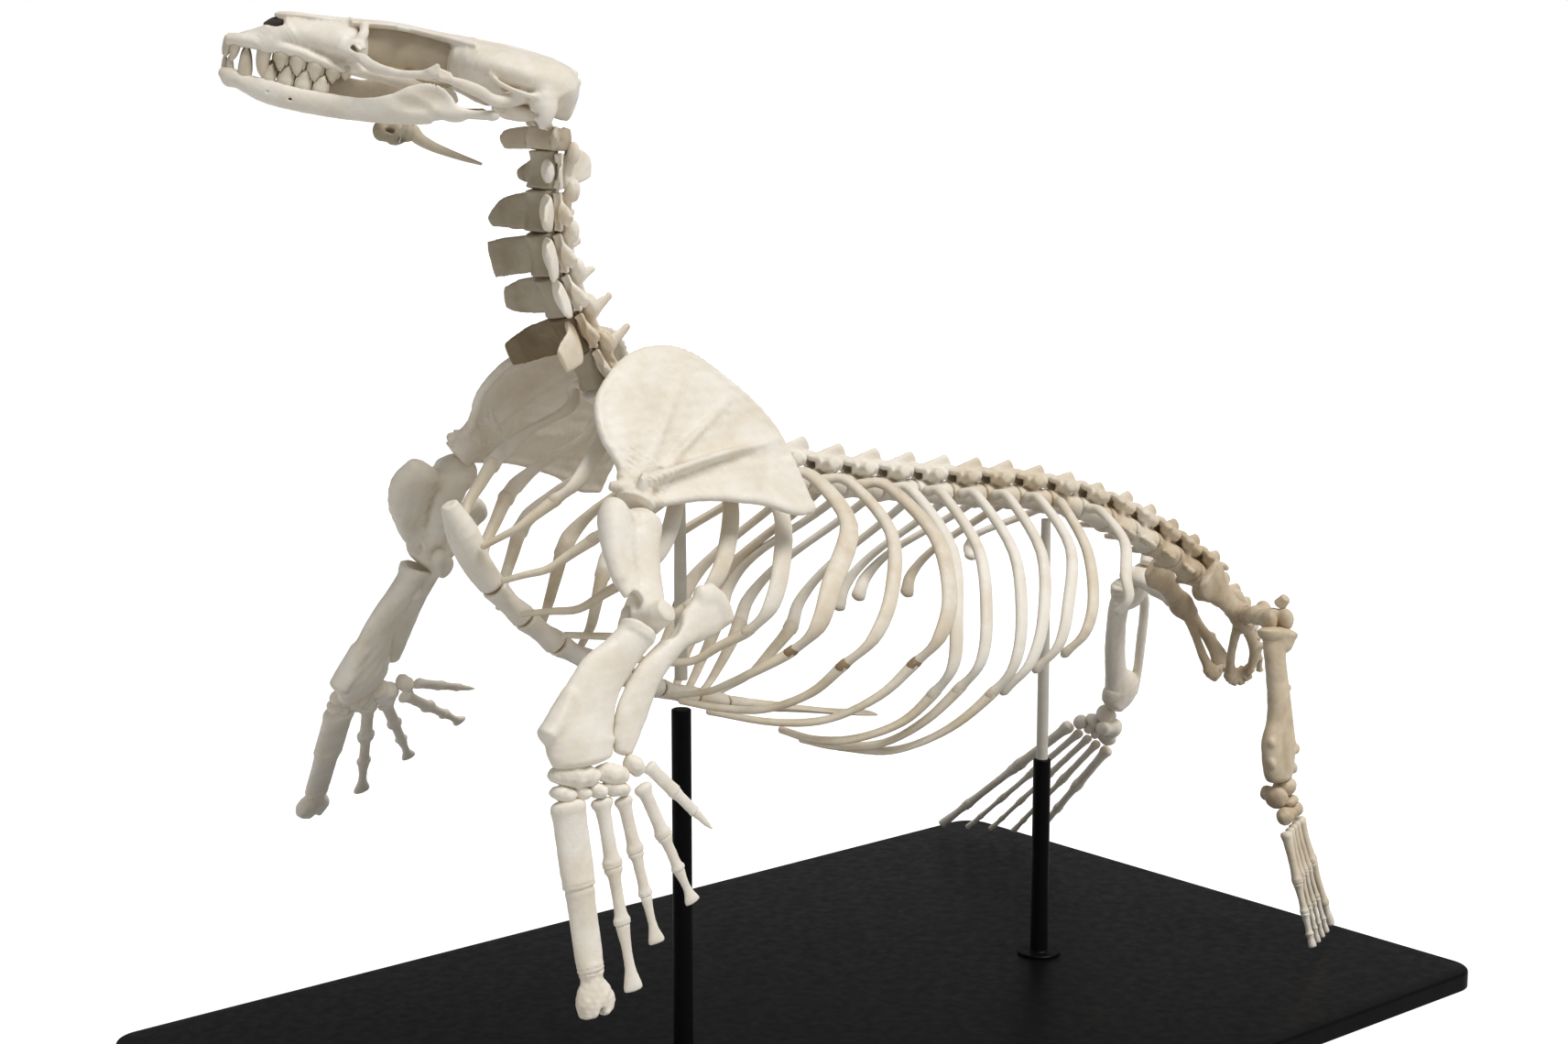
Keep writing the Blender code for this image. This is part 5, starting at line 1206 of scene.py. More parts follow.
def tooth(x, y, z, drop, wide, lean, hook=0.0):
    """A curved cone with a swollen middle. A negative drop points it up."""
    way = math.copysign(1, drop)
    rows = [(x, y, z + way * TOOTH_ROOT, wide * 0.86, wide * 0.66), (x, y, z, wide, wide * 0.76),
            (x - lean * abs(drop) * 0.25 + hook, y, z - drop * 0.42, wide * 0.92, wide * 0.72),
            (x - lean * abs(drop) * 0.6 + hook, y, z - drop * 0.76, wide * 0.66, wide * 0.56),
            (x - lean * abs(drop), y, z - drop, wide * 0.22, wide * 0.2)]
    return loft(HEAD.rows(rows), HEAD.axes[0], 16, 4)


def cheek_tooth(x, y, z, drop, wide):
    """A blunt crown with small points in front of it and behind it and a swollen collar."""
    way = math.copysign(1, drop)
    collar = loft(HEAD.rows([(x, y, z + way * 0.002, wide * 0.8, wide * 0.62),
                             (x, y, z - drop * 0.14, wide * 1.06, wide * 0.84),
                             (x, y, z - drop * 0.46, wide * 0.9, wide * 0.66)]), HEAD.axes[0], 16, 4)
    main = tooth(x + wide * 0.06, y, z - drop * 0.12, drop * 0.88, wide * 0.88, 0.12)
    rear = tooth(x - wide * 0.78, y, z - drop * 0.2, drop * 0.46, wide * 0.36, 0.1)
    front = tooth(x + wide * 0.8, y, z - drop * 0.2, drop * 0.34, wide * 0.3, -0.1)
    return [collar, main, rear, front]


# In front of the condyles, sideways, gum, height, half-width.
UPPER_CHEEK_TEETH = mm(
    (155.8, 13.8, 7.2, 10, 4), (146.2, 14.8, 7, 10.6, 4.3), (135.8, 16, 5.2, 10, 4.5),
    (125.8, 17, 4, 7.6, 3.8), (118.5, 17.4, 3.8, 4.4, 2.6),
)
LOWER_CHEEK_TEETH = mm(
    (160.8, 12, -9.5, 9, 3.6), (151.2, 13.4, -10, 10.4, 4.2), (141.2, 15, -10.8, 10.8, 4.4),
    (131, 16.8, -10.8, 9.6, 4.2),
)


def add_teeth():
    # The far teeth take the darker enamel as painted shade.
    for side, name, finish in ((1, "near", ENAMEL), (-1, "far", FAR_ENAMEL_SHADE)):
        lift, swell = (0.0, 1.0) if side > 0 else (0.0025, 1.12)
        upper = [tooth(0.1655, side * 0.0124, 0.0082, 0.0168, 0.0042, 0.1, 0.0006)]
        for x, y, size in ((0.1818, 0.0088, 0.0104), (0.1856, 0.006, 0.0086), (0.1872, 0.0022, 0.0078)):
            upper.append(tooth(x, side * y, 0.0075, size, size * 0.27, -0.12))
        for x, y, z, height, wide in UPPER_CHEEK_TEETH:
            upper += cheek_tooth(x, side * y, z, height, wide * swell)
        lower = [tooth(0.1742, side * 0.0094, -0.0096 + lift, -0.015, 0.004, -0.1, 0.0004)]
        for x, y in ((0.1828, 0.0062), (0.1856, 0.0022)):
            lower.append(tooth(x, side * y, -0.0086, -0.008, 0.0022, -0.2))
        for x, y, z, height, wide in LOWER_CHEEK_TEETH:
            lower += cheek_tooth(x, side * y, z + lift, -height, wide * swell)
        add_piece("teeth_upper_" + name, *joined(*upper), finish, ["skull"], "pale_bone")
        add_piece("teeth_lower_" + name, *joined(*lower), finish, ["mandible"], "pale_bone")


# In front of the condyles, sideways, bottom, top, half-thickness.
JAW_ROWS = mm(
    (186.8, 4.5, -12.8, -7.2, 3.6), (175.3, 9, -18.2, -8.6, 4.2), (161, 13, -22.6, -9, 4.2),
    (144.1, 17.2, -23.6, -10.4, 4), (123.3, 21.8, -23.3, -9.8, 3.6), (105, 26.8, -21.8, -8.2, 3.2),
    (90, 30, -20.2, -3, 2.8), (78, 32.2, -18, 4.6, 2.4), (69, 33.4, -15.2, 7.6, 2.1),
    (62, 34, -12.8, 4, 2.2), (55, 34.4, -10.4, -1.6, 2.6), (45, 34.6, -8, -2.6, 3),
    (34, 35, -6.6, -0.8, 3.4),
)
FAR_JAW_LIFT = 0.01  # the far half of the lower jaw is seen higher behind the teeth


def add_mandible():
    # The far half takes the darker finish as painted shade.
    for side, name, finish in ((1, "near", PALE), (-1, "far", DULL)):
        bone = Bone(HEAD, FINE_CELL, 0.0024, 0.00018)
        rows = []
        for x, y, low, high, thick in JAW_ROWS:
            share = min(1, max(0, (0.15 - x) / 0.02)) * min(1, max(0, (x - 0.075) / 0.01))
            lift = FAR_JAW_LIFT * share if side < 0 else 0
            rows.append((x, side * y, (low + high + lift) / 2, (high - low + lift) / 2, thick))
        bone.tube(rows, UPWARD, 7, cap=0.5)
        condyle = mm((33, 30, -3.6, 2.6, 2.2), (32.5, 38.5, -3.6, 2.6, 2.2), side=side)
        bone.tube(condyle, FORE_AFT, 1, 0.0025)
        bone.balls(mm((56, 34.5, -8.6, 7, 2.4, 2.8), side=side), 0.003)
        bone.tube(mm((182, 0, -12.5, 5.2, 5), (182, 8, -12.5, 5.2, 5), side=side), UPWARD, 1, 0.003)
        for x, z in ((0.16, -0.016), (0.147, -0.0175)):
            bone.ball((x, side * 0.02, z), (0.0011, 0.004, 0.0007), 0.0006, cut=True)
        bone.balls(mm((70.5, 37.8, -0.2, 11.5, 4.4, 6.8), side=side), 0.002, cut=True)
        bone.balls(mm((85, 35, -7, 15, 3, 4), side=side), 0.0026, cut=True)
        add_bone("jaw_half_" + name, bone, finish, ["mandible"])


def add_hyoid():
    bone = Bone(HEAD, FINE_CELL, 0.002, 0.0005)
    for side in (1, -1):
        bone.balls(mm((92, 6, -25, 5, 6.2, 6), (84.2, 8, -24.8, 6.6, 6.6, 7), (77.2, 9, -22.8, 4.6, 5, 5.6),
                      side=side), 0.002)
        bone.balls(mm((88, 12, -24, 2.6, 4, 1.4), (80, 13, -27.6, 2.6, 4, 1.2), side=side), 0.001, cut=True)
    bone.tube(mm((87, -8, -27, 5, 3.6), (87, 8, -27, 5, 3.6)), FORE_AFT, 1)
    # The hyoid body and horns take darker finishes as painted shade.
    add_bone("hyoid_body", bone, NECK_SHADE, ["hyoid"])
    for side in (1, -1):
        horn = mm((74.8, 10, -21.5, 4, 3.2), (70.5, 11.5, -25.2, 3.6, 3), (63, 12.8, -27.8, 3, 2.4),
                  (55.4, 14, -29.3, 2.5, 2), (44, 15.5, -31, 1.8, 1.5), (33.5, 16.5, -32.2, 0.9, 0.9),
                  side=side)
        add_loft(f"hyoid_horn_{side}", HEAD.rows(horn), HEAD.axes[2], DULL, ["hyoid"], 14, 5)
    near_half = ((0.0306, -0.0165), (0.029, -0.024), (0.022, -0.0282))
    bow = [(-y, z) for y, z in near_half] + [(0.0, -0.03)] + list(near_half[::-1])
    wire = [(0.082, y, z, 0.0004, 0.0004) for y, z in bow]
    add_loft("hyoid_wire", HEAD.rows(wire), HEAD.axes[0], WIRE, ["hyoid"], 10, 6)


# ---- The shoulder and the front limbs ----

# Directions of a left blade; those of the right one are mirrored, and it leans back by some degrees more.
SCAPULA_UP = {"left": (0.598, 0.41, 0.688), "right": (0.714, 0.276, 0.658)}
SCAPULA_REAR = (0.801, -0.341, -0.493)
SCAPULA_LEAN = {"left": 0, "right": 3}
# Rows across the shoulder blade from the socket to the upper border, each from its front to its rear.
SCAPULA_ROWS = (
    mm((-9, 4.5), (-4, 4.2), (2, 4), (7, 4.2), (11, 4.5)),
    mm((-13.5, 19), (-5.5, 20), (2, 19), (12, 15), (20, 11)),
    mm((-29, 33.5), (-10, 42), (8, 42), (28, 35), (45, 29)),
    mm((-36.5, 56), (-18, 72), (15, 75), (48, 64), (82, 48)),
    mm((-30, 82), (-12, 106), (24, 106), (64, 90), (106, 55)),
    mm((-20, 98.5), (6, 121.5), (40, 120.5), (82, 106), (118, 65)),
)


def scapula_frame(side):
    """Axes to the rear, up the blade and outwards."""
    mirror = (1, -SIDES[side], 1)
    up = unit(np.multiply(SCAPULA_UP[side], mirror))
    rear = square_to(np.multiply(SCAPULA_REAR, mirror), up)
    lean = math.radians(SCAPULA_LEAN[side])
    up, rear = up * math.cos(lean) + rear * math.sin(lean), rear * math.cos(lean) - up * math.sin(lean)
    out = SIDES[side] * np.cross(up, rear)
    return Frame(JOINTS[side]["glenoid"], rear, up, out)


def add_scapula(side):
    """A broad thin fan with a thick rim, ridges, a neck and a shallow socket."""
    bone = Bone(scapula_frame(side), CELL * 0.85, 0.0022)
    wave = (0.0, 0.0014, 0.0008, -0.001, 0.0)
    table = np.zeros((len(SCAPULA_ROWS), 5, 3))
    for i, row in enumerate(SCAPULA_ROWS):
        for k, (rear, up) in enumerate(row):
            table[i, k] = (rear, up, wave[k] * min(1, i / 2) - 0.0025 * max(0, i - 2))
    lines = [curve(line, 7) for line in table]
    sheet = np.array([curve(np.array([line[k] for line in lines]), 5) for k in range(len(lines[0]))])
    for k in range(len(sheet) - 1):
        reach = 0.66 if k in (0, len(sheet) - 2) else 1.25
        rows = []
        for a, b in zip(sheet[k], sheet[k + 1]):
            rows.append((*(a + b) / 2, np.linalg.norm(b - a) * reach, 0.0015))
        bone.tube(rows, (1, -0.45, 0), 1, 0.001, cap=0.5)
    for edge, size in ((sheet[0], 0.0024), (sheet[-1], 0.0026), (sheet[:, -1], 0.0021)):
        bone.tube([(*spot, size, size) for spot in edge], UPWARD, 1, 0.0026)
    bone.tube(mm((1.5, 0.6, 0, 12, 8.5), (1, 8, 0, 10.4, 6.6), (2, 18, 0, 9.8, 4.2), (4, 30, 0, 10, 2.2)),
              FORE_AFT, 3, 0.003, cap=0.15)
    bone.tube(mm((4, 15, 3, 5.6, 3), (18, 30, 4, 5.8, 2.8), (33, 46, 3.4, 5.2, 2.6),
                 (52, 66, 0.8, 4.4, 2.4), (72, 86, -4.4, 3.4, 2.2), (84, 98, -8, 2.2, 2)), UPWARD, 5, 0.005)
    bone.tube(mm((1, 12, 6, 4.6, 1.8), (-1.6, 7, 10, 4, 1.8)), ACROSS, 1, 0.003)
    for lean in (0.1, 0.42):
        ridge = ((0.03, 0.0006), (0.055, 0.0012), (0.08, -0.0016), (0.105, -0.0052))
        bone.tube([(lean * up, up, out, 0.0018, 0.0018) for up, out in ridge], FORE_AFT, 4, 0.004)
    bone.tube(mm((-5, 7, 2, 4.4, 4), (-12, 4, 1, 3.8, 3.6), (-16, 3, 0, 2.8, 2.8)), UPWARD, 3, 0.002)
    bone.balls(mm((1, -6.2, 0, 10.5, 6.2, 7.2)), 0.001, cut=True)
    add_bone("scapula_bone_" + side, bone, PALE, ["scapula_" + side])


HUMERUS_REACH = 0.068  # from the shoulder to the elbow before it is stretched
ELBOW_GAP = 0.003
CREST_REACH = {"left": 1.0, "right": 1.4}  # how far the upper end of the crest stands out
CREST_LENGTH = 0.06


def add_humerus(side):
    joints = JOINTS[side]
    start, end = np.array(joints["shoulder"]), np.array(joints["elbow"])
    place = limb_frame(side, start, end, outward_of(side))
    stretch = (np.linalg.norm(end - start) - ELBOW_GAP) / HUMERUS_REACH
    reach = CREST_REACH[side]
    bone = Bone(place, CELL, 0.0035)
    shaft = ((0.002, -0.0045, 0, 0.0125, 0.0118), (0.014, -0.003, 0, 0.0125, 0.0112),
             (0.028, -0.002, 0, 0.0108, 0.0094), (0.042, -0.0015, 0, 0.0102, 0.0086),
             (0.053, -0.001, 0, 0.0112, 0.009), (0.0625, -0.0005, 0, 0.0112, 0.012))
    bone.tube([(a * stretch, b, c, d, e) for a, b, c, d, e in shaft], ACROSS, 3, 0.004, cap=0.3)
    bone.balls(mm((4.5, -5.5, -1, 12, 13.5, 12.5)), 0.003)
    crest = mm((2, 12, 1, 8.5, 8), (12, 15, 1.5, 10, 7.8), (28, 16.5, 1.5, 10, 5), (42, 13.5, 1, 9, 4),
               (52, 7, 0.5, 7, 4))
    rows = []
    for along, ahead, out, half, thick in crest:
        fuller = 1 + (reach - 1) * max(0, 1 - along / CREST_LENGTH)
        rows.append((along * stretch, ahead * fuller, out, half * math.sqrt(fuller), thick))
    bone.tube(rows, ACROSS, 3, 0.005, cap=0.6)
    knob = [(-0.003, 0.015 * reach, 0.002, 0.008 * reach, 0.0078),
            (0.008, 0.0195 * reach, 0.003, 0.0085 * reach, 0.0085),
            (0.024, 0.0215 * reach, 0.002, 0.005 * reach, 0.0056),
            (0.042, 0.019 * reach ** 0.5, 0.001, 0.0034, 0.004)]
    bone.tube(knob, ACROSS, 3, 0.004, cap=0.7)
    low = stretch * 0.064
    bone.tube([(low, -0.0035, -0.015, 0.007, 0.0075), (low + 0.0008, -0.001, -0.004, 0.0084, 0.0058),
               (low, 0.001, 0.006, 0.0092, 0.0068), (low - 0.0006, 0, 0.014, 0.0074, 0.0072)],
              ACROSS, 3, 0.003)
    bone.ball((low - 0.009, 0.003, -0.014), (0.007, 0.0048, 0.0045), 0.004)
    bone.ball((low - 0.01, -0.011, 0.001), (0.0075, 0.0056, 0.0062), 0.002, cut=True)
    bone.ball((low - 0.0105, 0.0115, 0.0005), (0.0058, 0.0042, 0.006), 0.002, cut=True)
    bone.ball((0.005, 0.0075 * reach, 0.0135), (0.0105, 0.0022, 0.0048), 0.002, cut=True)
    add_bone("humerus_bone_" + side, bone, PALE, ["humerus_" + side])


# Along the bone, to the front, outwards, half-width, half-thickness, as in all tables of the limbs.
RADIUS_ROWS = mm(
    (5, 9.5, 0, 11, 9), (13, 11.5, 0, 11.2, 7.5), (26, 15.4, 0, 12.6, 6.6), (40, 19.6, 0, 15.4, 6.2),
    (52, 20.2, 0, 17.3, 6.4), (64, 18.4, 0, 20, 6.8), (77, 15.8, 0, 23.5, 8.2), (86.6, 8.5, 0, 20.8, 8),
)
ULNA_ROWS = mm(
    (-41, -33, 1, 13.5, 4.2), (-29.5, -28, 1, 13.5, 4.8), (-17, -21.8, 1, 10.4, 5.5), (-3, -15.8, 1, 7, 6),
    (22, -8.4, 1, 8.8, 5.6), (45.5, -8.2, 1, 10.5, 5), (60, -10.8, 1, 8.8, 4.8), (69, -13.5, 1, 6.2, 4.4),
)
FOREARM_TURN = {"left": 0.3, "right": 0.5}  # how far its outer side faces the front


def add_forearm(side):
    joints = JOINTS[side]
    place = limb_frame(side, joints["elbow"], joints["wrist"], outward_of(side, 0.2, FOREARM_TURN[side]))
    radius = Bone(place, CELL * 0.9, 0.003)
    radius.tube(RADIUS_ROWS, ACROSS, 8, cap=0.6)
    radius.tube(mm((3, 10, 0, 11.8, 9.8), (7, 9.8, 0, 11.2, 9.4)), ACROSS, 1, 0.002, cap=0.2)
    radius.tube(mm((62, 33.5, 0.4, 4.2, 4.6), (78, 35.2, 0.6, 4.2, 6.2), (87, 36.8, 0.6, 5, 6.6)), ACROSS,
                3, 0.005, cap=0.7)
    radius.balls(mm((19, 5, -6, 5.6, 3.6, 3.2)), 0.002)
    radius.balls(mm((1, 10, 0, 3, 10, 7.5)), 0.001, cut=True)
    ulna = Bone(place, CELL * 0.9, 0.003)
    ulna.tube(ULNA_ROWS, ACROSS, 6, cap=0.6)
    ulna.tube(mm((-37, -18, 1.5, 5.2, 4), (-41.5, -27, 1.5, 5, 4.4), (-40, -35, 1.5, 5, 4.4),
                 (-35, -41.5, 1.2, 4.6, 4)), ACROSS, 3, 0.004, cap=0.7)
    ulna.balls(mm((-11, -9.5, -1, 10.5, 5, 8)), 0.0022, cut=True)
    add_bone("radius_bone_" + side, radius, PALE, ["radius_" + side])
    add_bone("ulna_bone_" + side, ulna, PALE, ["ulna_" + side])


HAND_SHIFT = {"left": -0.0015, "right": 0.005}  # from the wrist towards the finger tips
# Each wrist bone: its place along and across the hand, its radii along, across and through.
CARPUS_NAMES = ("scapholunate", "cuneiform", "pisiform", "trapezium", "trapezoid", "magnum", "unciform")
CARPUS = mm(
    (2.8, 10, 6.8, 13.8, 7.4), (4.4, -13.5, 6, 9, 6.8), (1, -27.6, 5.8, 5.2, 5.8),
    (12.4, 17.2, 4.4, 6.8, 5.8), (12.6, 6.2, 4.2, 4.8, 5.6), (12.6, -4, 4.4, 5.2, 5.6),
    (12.8, -15.8, 4.6, 7.6, 5.8),
)
# Each finger: where it starts along and across the hand, its length and its half-width.
FINGERS = mm(
    (16.6, 15, 125, 11.6), (17.4, -6.3, 112, 7.2), (17.8, -20, 87, 6.2), (11, -32.5, 77, 6.2),
    (-1, -37, 58, 5),
)
FINGER_LEAN = {"left": (7, 9, 13, 24, 45), "right": (7, 15, 29, 50, 66)}  # in degrees, to the rear
# Where the bones of each finger end, as shares of its length.
FINGER_JOINTS = ((0.385, 0.775), (0.35, 0.65), (0.37, 0.67), (0.43, 0.72), (0.42, 0.72))


def hand_frame(side):
    """Axes to the finger tips, to the front and through the hand."""
    joints = JOINTS[side]
    wrist, tip = np.array(joints["wrist"]), np.array(joints["finger"])
    along = unit(tip - wrist)
    wrist = wrist + along * HAND_SHIFT[side]
    way = (-0.988, 0.151, 0.034) if side == "left" else (-0.9, 0.25, -0.26)
    forward = square_to(way, along)
    return Frame(wrist, along, forward, np.cross(along, forward))


# The share of the bone's length, then its width and thickness as shares of the digit's.
SHAFT = (
    (0.012, 0.88, 0.92), (0.06, 0.94, 0.94), (0.18, None, 0.8), (0.5, None, 0.66), (0.8, None, 0.72),
    (0.9, 0.84, 0.86), (0.932, 0.86, 0.88), (0.95, 0.74, 0.76), (0.97, 0.86, 0.88), (0.988, 0.8, 0.8),
)
# The same for the last bone of a digit.
TIPS = {
    "knob": ((0.03, 0.92, 0.9), (0.16, 0.8, 0.78), (0.36, 1.2, 1.00), (0.6, 1.46, 1.2), (0.85, 1.28, 1.1)),
    "flare": ((0.02, 0.8, 0.8), (0.12, 0.72, 0.72), (0.35, 0.56, 0.58), (0.65, 0.6, 0.58), (0.88, 1.00, 0.8),
              (0.98, 1.1, 0.72)),
    "point": ((0.03, 0.76, 0.8), (0.25, 0.66, 0.66), (0.65, 0.46, 0.44), (0.97, 0.2, 0.2)),
    "blunt": ((0.03, 0.8, 0.84), (0.25, 0.7, 0.72), (0.6, 0.86, 0.9), (0.88, 0.92, 0.9)),
}


def digit(start, across, length, half, thick, angle, joints, waist, end):
    """The bones of a finger or toe, each as rows with a wide base, a waist and a capped head."""
    lean = math.radians(angle)
    clear = half * abs(math.sin(lean))
    marks = (0.0, *joints, 1.0)
    found = []
    for k, (low, high) in enumerate(zip(marks, marks[1:])):
        size = (1 - 0.3 * low) * (1.0 if k == 0 else 0.94)
        rows = []
        for part, wide, deep in TIPS[end] if high == 1.0 else SHAFT:
            reach = length * (low + (high - low) * part)
            wide = waist + 0.6 * abs(part - 0.5) * (0.85 - waist) if wide is None else wide
            rows.append((start + clear + reach * math.cos(lean), across - reach * math.sin(lean), 0,
                         half * wide * size, thick * deep * size))
        found.append(rows)
    return found


def add_digit(name, place, bones, finishes, node, slot, end="flare"):
    for k, rows in enumerate(bones):
        knobbed = end == "knob" and k == len(bones) - 1
        bone = Bone(place, CELL * 0.7, 0.0012, 0.0006 if knobbed else 0.00016)
        bone.tube(rows, ACROSS, 3, cap=0.45)
        if knobbed:
            tip, back = np.array(rows[-1][:3]), np.array(rows[-2][:3])
            bone.ball(tip + unit(tip - back) * 0.004, (0.008, 0.002, 0.012), 0.002, cut=True)
        add_bone(f"{name}_{k + 1}", bone, finishes[min(k, len(finishes) - 1)], node, slot)


# Each finger: the width of its waists, and the kind of its tip.
FINGER_SHAPES = ((0.9, "knob"), (0.58, "flare"), (0.62, "flare"), (0.62, "flare"), (0.8, "point"))


def add_hand(side):
    place = hand_frame(side)
    for name, (along, across, *radii) in zip(CARPUS_NAMES, CARPUS):
        bone = Bone(place, CELL * 0.7, 0.0016, 0.0006)
        radii = np.array(radii)
        bone.ball((along + radii[0] * 0.18, across - radii[1] * 0.25, 0), radii * (0.97, 0.9, 1.0))
        bone.ball((along - radii[0] * 0.18, across + radii[1] * 0.28, 0.0006), radii * (0.92, 0.9, 0.94))
        add_bone(f"{name}_{side}", bone, PALE, ["carpus_" + side])
    for i, (start, across, length, half) in enumerate(FINGERS):
        waist, end = FINGER_SHAPES[i]
        bones = digit(start, across, length, half, half * 0.62, FINGER_LEAN[side][i], FINGER_JOINTS[i],
                      waist, end)
        add_digit(f"finger_bone_{i + 1}_{side}", place, bones, (PALE,), [f"finger_{i + 1}_{side}"],
                  "pale_bone", end)


# ---- The pelvis and the hind limbs ----


def add_pelvis(side):
    sign = SIDES[side]
    bone = Bone(Frame(JOINTS[side]["hip"], FORE_AFT, (0, sign, 0), UPWARD), CELL * 0.9, 0.0026)
    diagonal = (0.7, 0, 0.7)
    bone.tube(mm((-34.5, -6, 34.5, 12, 3.4), (-29, -6.2, 29, 15.2, 3.2), (-20, -7, 20, 10.6, 3.8),
                 (-7, -5, 6, 7.2, 5.8)), diagonal, 3, cap=0.4)
    bone.tube(mm((-7, -5, 6, 7.5, 6), (3, -3, -2, 10, 8.8), (12, -5, -11, 7, 5.6)), diagonal, 3)
    bone.tube(mm((4, -6, -5, 5, 4.2), (7, -14, -24, 3.6, 3), (11, -20, -42, 4.2, 2.8),
                 (17, -22.5, -53.5, 5.2, 2.6)), FORE_AFT, 3)
    bone.tube(mm((11, -6, -10, 5.6, 4), (22, -8.5, -24, 4.4, 3.4), (30, -12, -35, 5.6, 3.6),
                 (33.5, -18, -48, 7.6, 3.4), (23, -23.5, -56, 6.6, 3), (12, -23, -50, 5, 3.2)), diagonal, 3)
    bone.tube(mm((30, -9.5, -29, 3, 3), (34.5, -8.5, -30, 2.8, 2.8)), diagonal, 1)
    bone.balls(mm((2, 5, 0, 7.8, 6.6, 7.8)), 0.0012, cut=True)
    add_bone("pelvis_bone_" + side, bone, BROWN, ["pelvis_" + side], "brown_bone")


TIBIA_ROWS = {
    "left": mm((11, 2, 0, 20.5, 10), (15, 2.6, 0, 16.5, 8.5), (21.5, 5.5, 0, 11.2, 6.8),
               (33, 5, 0, 9.4, 6.6), (56.7, 2, 0, 10, 7.2), (75, 1.2, 0, 12, 8), (91, 3, 0, 16.5, 9.2),
               (108, 4, 0, 14.5, 8.8), (116, 3.5, 0, 12, 8)),
    "right": mm((11.5, 0, 0, 20.5, 10.5), (17, 0.6, 0, 18.5, 9.5), (29, 10.5, 0, 10.5, 6.2),
                (60, 9.5, 0, 10, 5.8), (88.5, 3.5, 0, 10.8, 6.5), (102, -3, 0, 18, 8.5),
                (107.5, -3.5, 0, 18.5, 8.5), (116.5, 2, 0, 10.5, 8)),
}
FIBULA_ROWS = {
    "left": mm((16, -4.5, -6, 4.8, 4.8), (40, -4.5, -9.5, 3, 3), (86, -6, -9.8, 3.4, 3),
               (107, -3.5, -6.5, 6, 5)),
    "right": mm((16, -12.5, 0, 4.8, 4.8), (34, -20.5, 0, 4, 3.6), (65, -22, 0, 4.2, 3.6),
                (92, -22.5, 0, 4, 3.6), (110, -19, 0, 5.2, 4.8)),
}


def add_hind_limb(side, finish, slot):
    joints = {name: np.array(place) for name, place in JOINTS[side].items()}
    hip, knee, ankle = joints["hip"], joints["knee"], joints["ankle"]
    place = limb_frame(side, hip, knee, UPWARD)
    length = np.linalg.norm(knee - hip)
    femur = Bone(place, CELL * 0.9, 0.003)
    femur.balls(mm((5.2, 0, 0, 6.4, 6.4, 6.4)), 0.0016)
    femur.tube([(0.006, 0, 0, 0.0046, 0.0046), (0.016, 0, 0.0008, 0.0072, 0.0068),
                (0.022, 0, 0.001, 0.0096, 0.0076), (length * 0.55, 0, 0, 0.0086, 0.006),
                (length - 0.013, 0, 0, 0.0118, 0.0074), (length - 0.006, 0, -0.0004, 0.0125, 0.0074)],
               ACROSS, 3)
    femur.balls(mm((17, -7.5, 5.2, 6.8, 5.2, 6)), 0.003)
    for ahead in (0.007, -0.007):
        femur.ball((length - 0.003, ahead, -0.0012), (0.0072, 0.0058, 0.0082), 0.0022)
    femur.ball((length - 0.002, 0, -0.0075), (0.0065, 0.002, 0.0045), 0.002, cut=True)
    add_bone("femur_bone_" + side, femur, finish, ["femur_" + side], slot)
    kneecap = Bone(place, CELL * 0.8, 0.001)
    kneecap.tube([(length - 0.007, -0.0055, 0.0098, 0.0056, 0.0046),
                  (length - 0.0025, -0.0078, 0.0142, 0.004, 0.0038)], ACROSS, 1)
    add_bone("kneecap_" + side, kneecap, finish, ["femur_" + side], slot)

    place = limb_frame(side, knee, ankle, outward_of(side))
    shin = Bone(place, CELL, 0.003)
    shin.tube(TIBIA_ROWS[side], ACROSS, 7, cap=0.5)
    shin.tube(FIBULA_ROWS[side], ACROSS, 3, 0.0016)
    if side == "left":
        for along, ahead in ((0.096, -0.012), (0.105, 0.0165), (0.11, -0.009), (0.09, 0.0165)):
            shin.ball((along, ahead, 0.0035), (0.0042, 0.003, 0.0034), 0.0015)
        shin.balls(mm((94, -9.5, 8, 3, 4, 2.2)), 0.001, cut=True)
        shin.balls(mm((51, -7, 2, 3, 2.2, 2.2)), 0.001)
    add_bone("shin_bone_" + side, shin, finish, ["shin_" + side], slot)


# Each toe: where it starts across the foot, its half-width and its lean.
TOES = ((0.019, 0.0058, 5), (0.0086, 0.0041, 2.5), (0.0, 0.0039, 0), (-0.0085, 0.0041, -3),
        (-0.0187, 0.0055, -6))
TOE_JOINTS = ((0.4, 0.8), (0.42, 0.68, 0.88), (0.42, 0.68, 0.88), (0.42, 0.68, 0.88), (0.44, 0.7, 0.89))
FOOT_SHIFT = {"left": -0.0034, "right": 0.0}  # from the ankle towards the toe tips
TOE_CLEARANCE = 0.0022  # above the base
TOE_START = 0.033 + GAP + 0.0003  # along the foot
# Each ankle bone: its place along and across the foot and outward, and its radii.
ANKLE_NAMES = ("talus", "heel_bone", "navicular", "cuboid", "cuneiform_1", "cuneiform_2", "cuneiform_3")
ANKLE = mm(
    (5, 4, 0.5, 7.2, 8.4, 8.8), (9.5, -7, -4, 8.6, 6.4, 8.6), (16.5, 6, 0, 4.4, 9, 7.2),
    (23.5, -10.5, 0, 6.6, 8, 6.4), (25, 14.8, 0, 6.2, 5.6, 6.2), (24.5, 6, 0, 5.2, 4.6, 6),
    (25, -1.2, 0, 5.6, 4.2, 6),
)


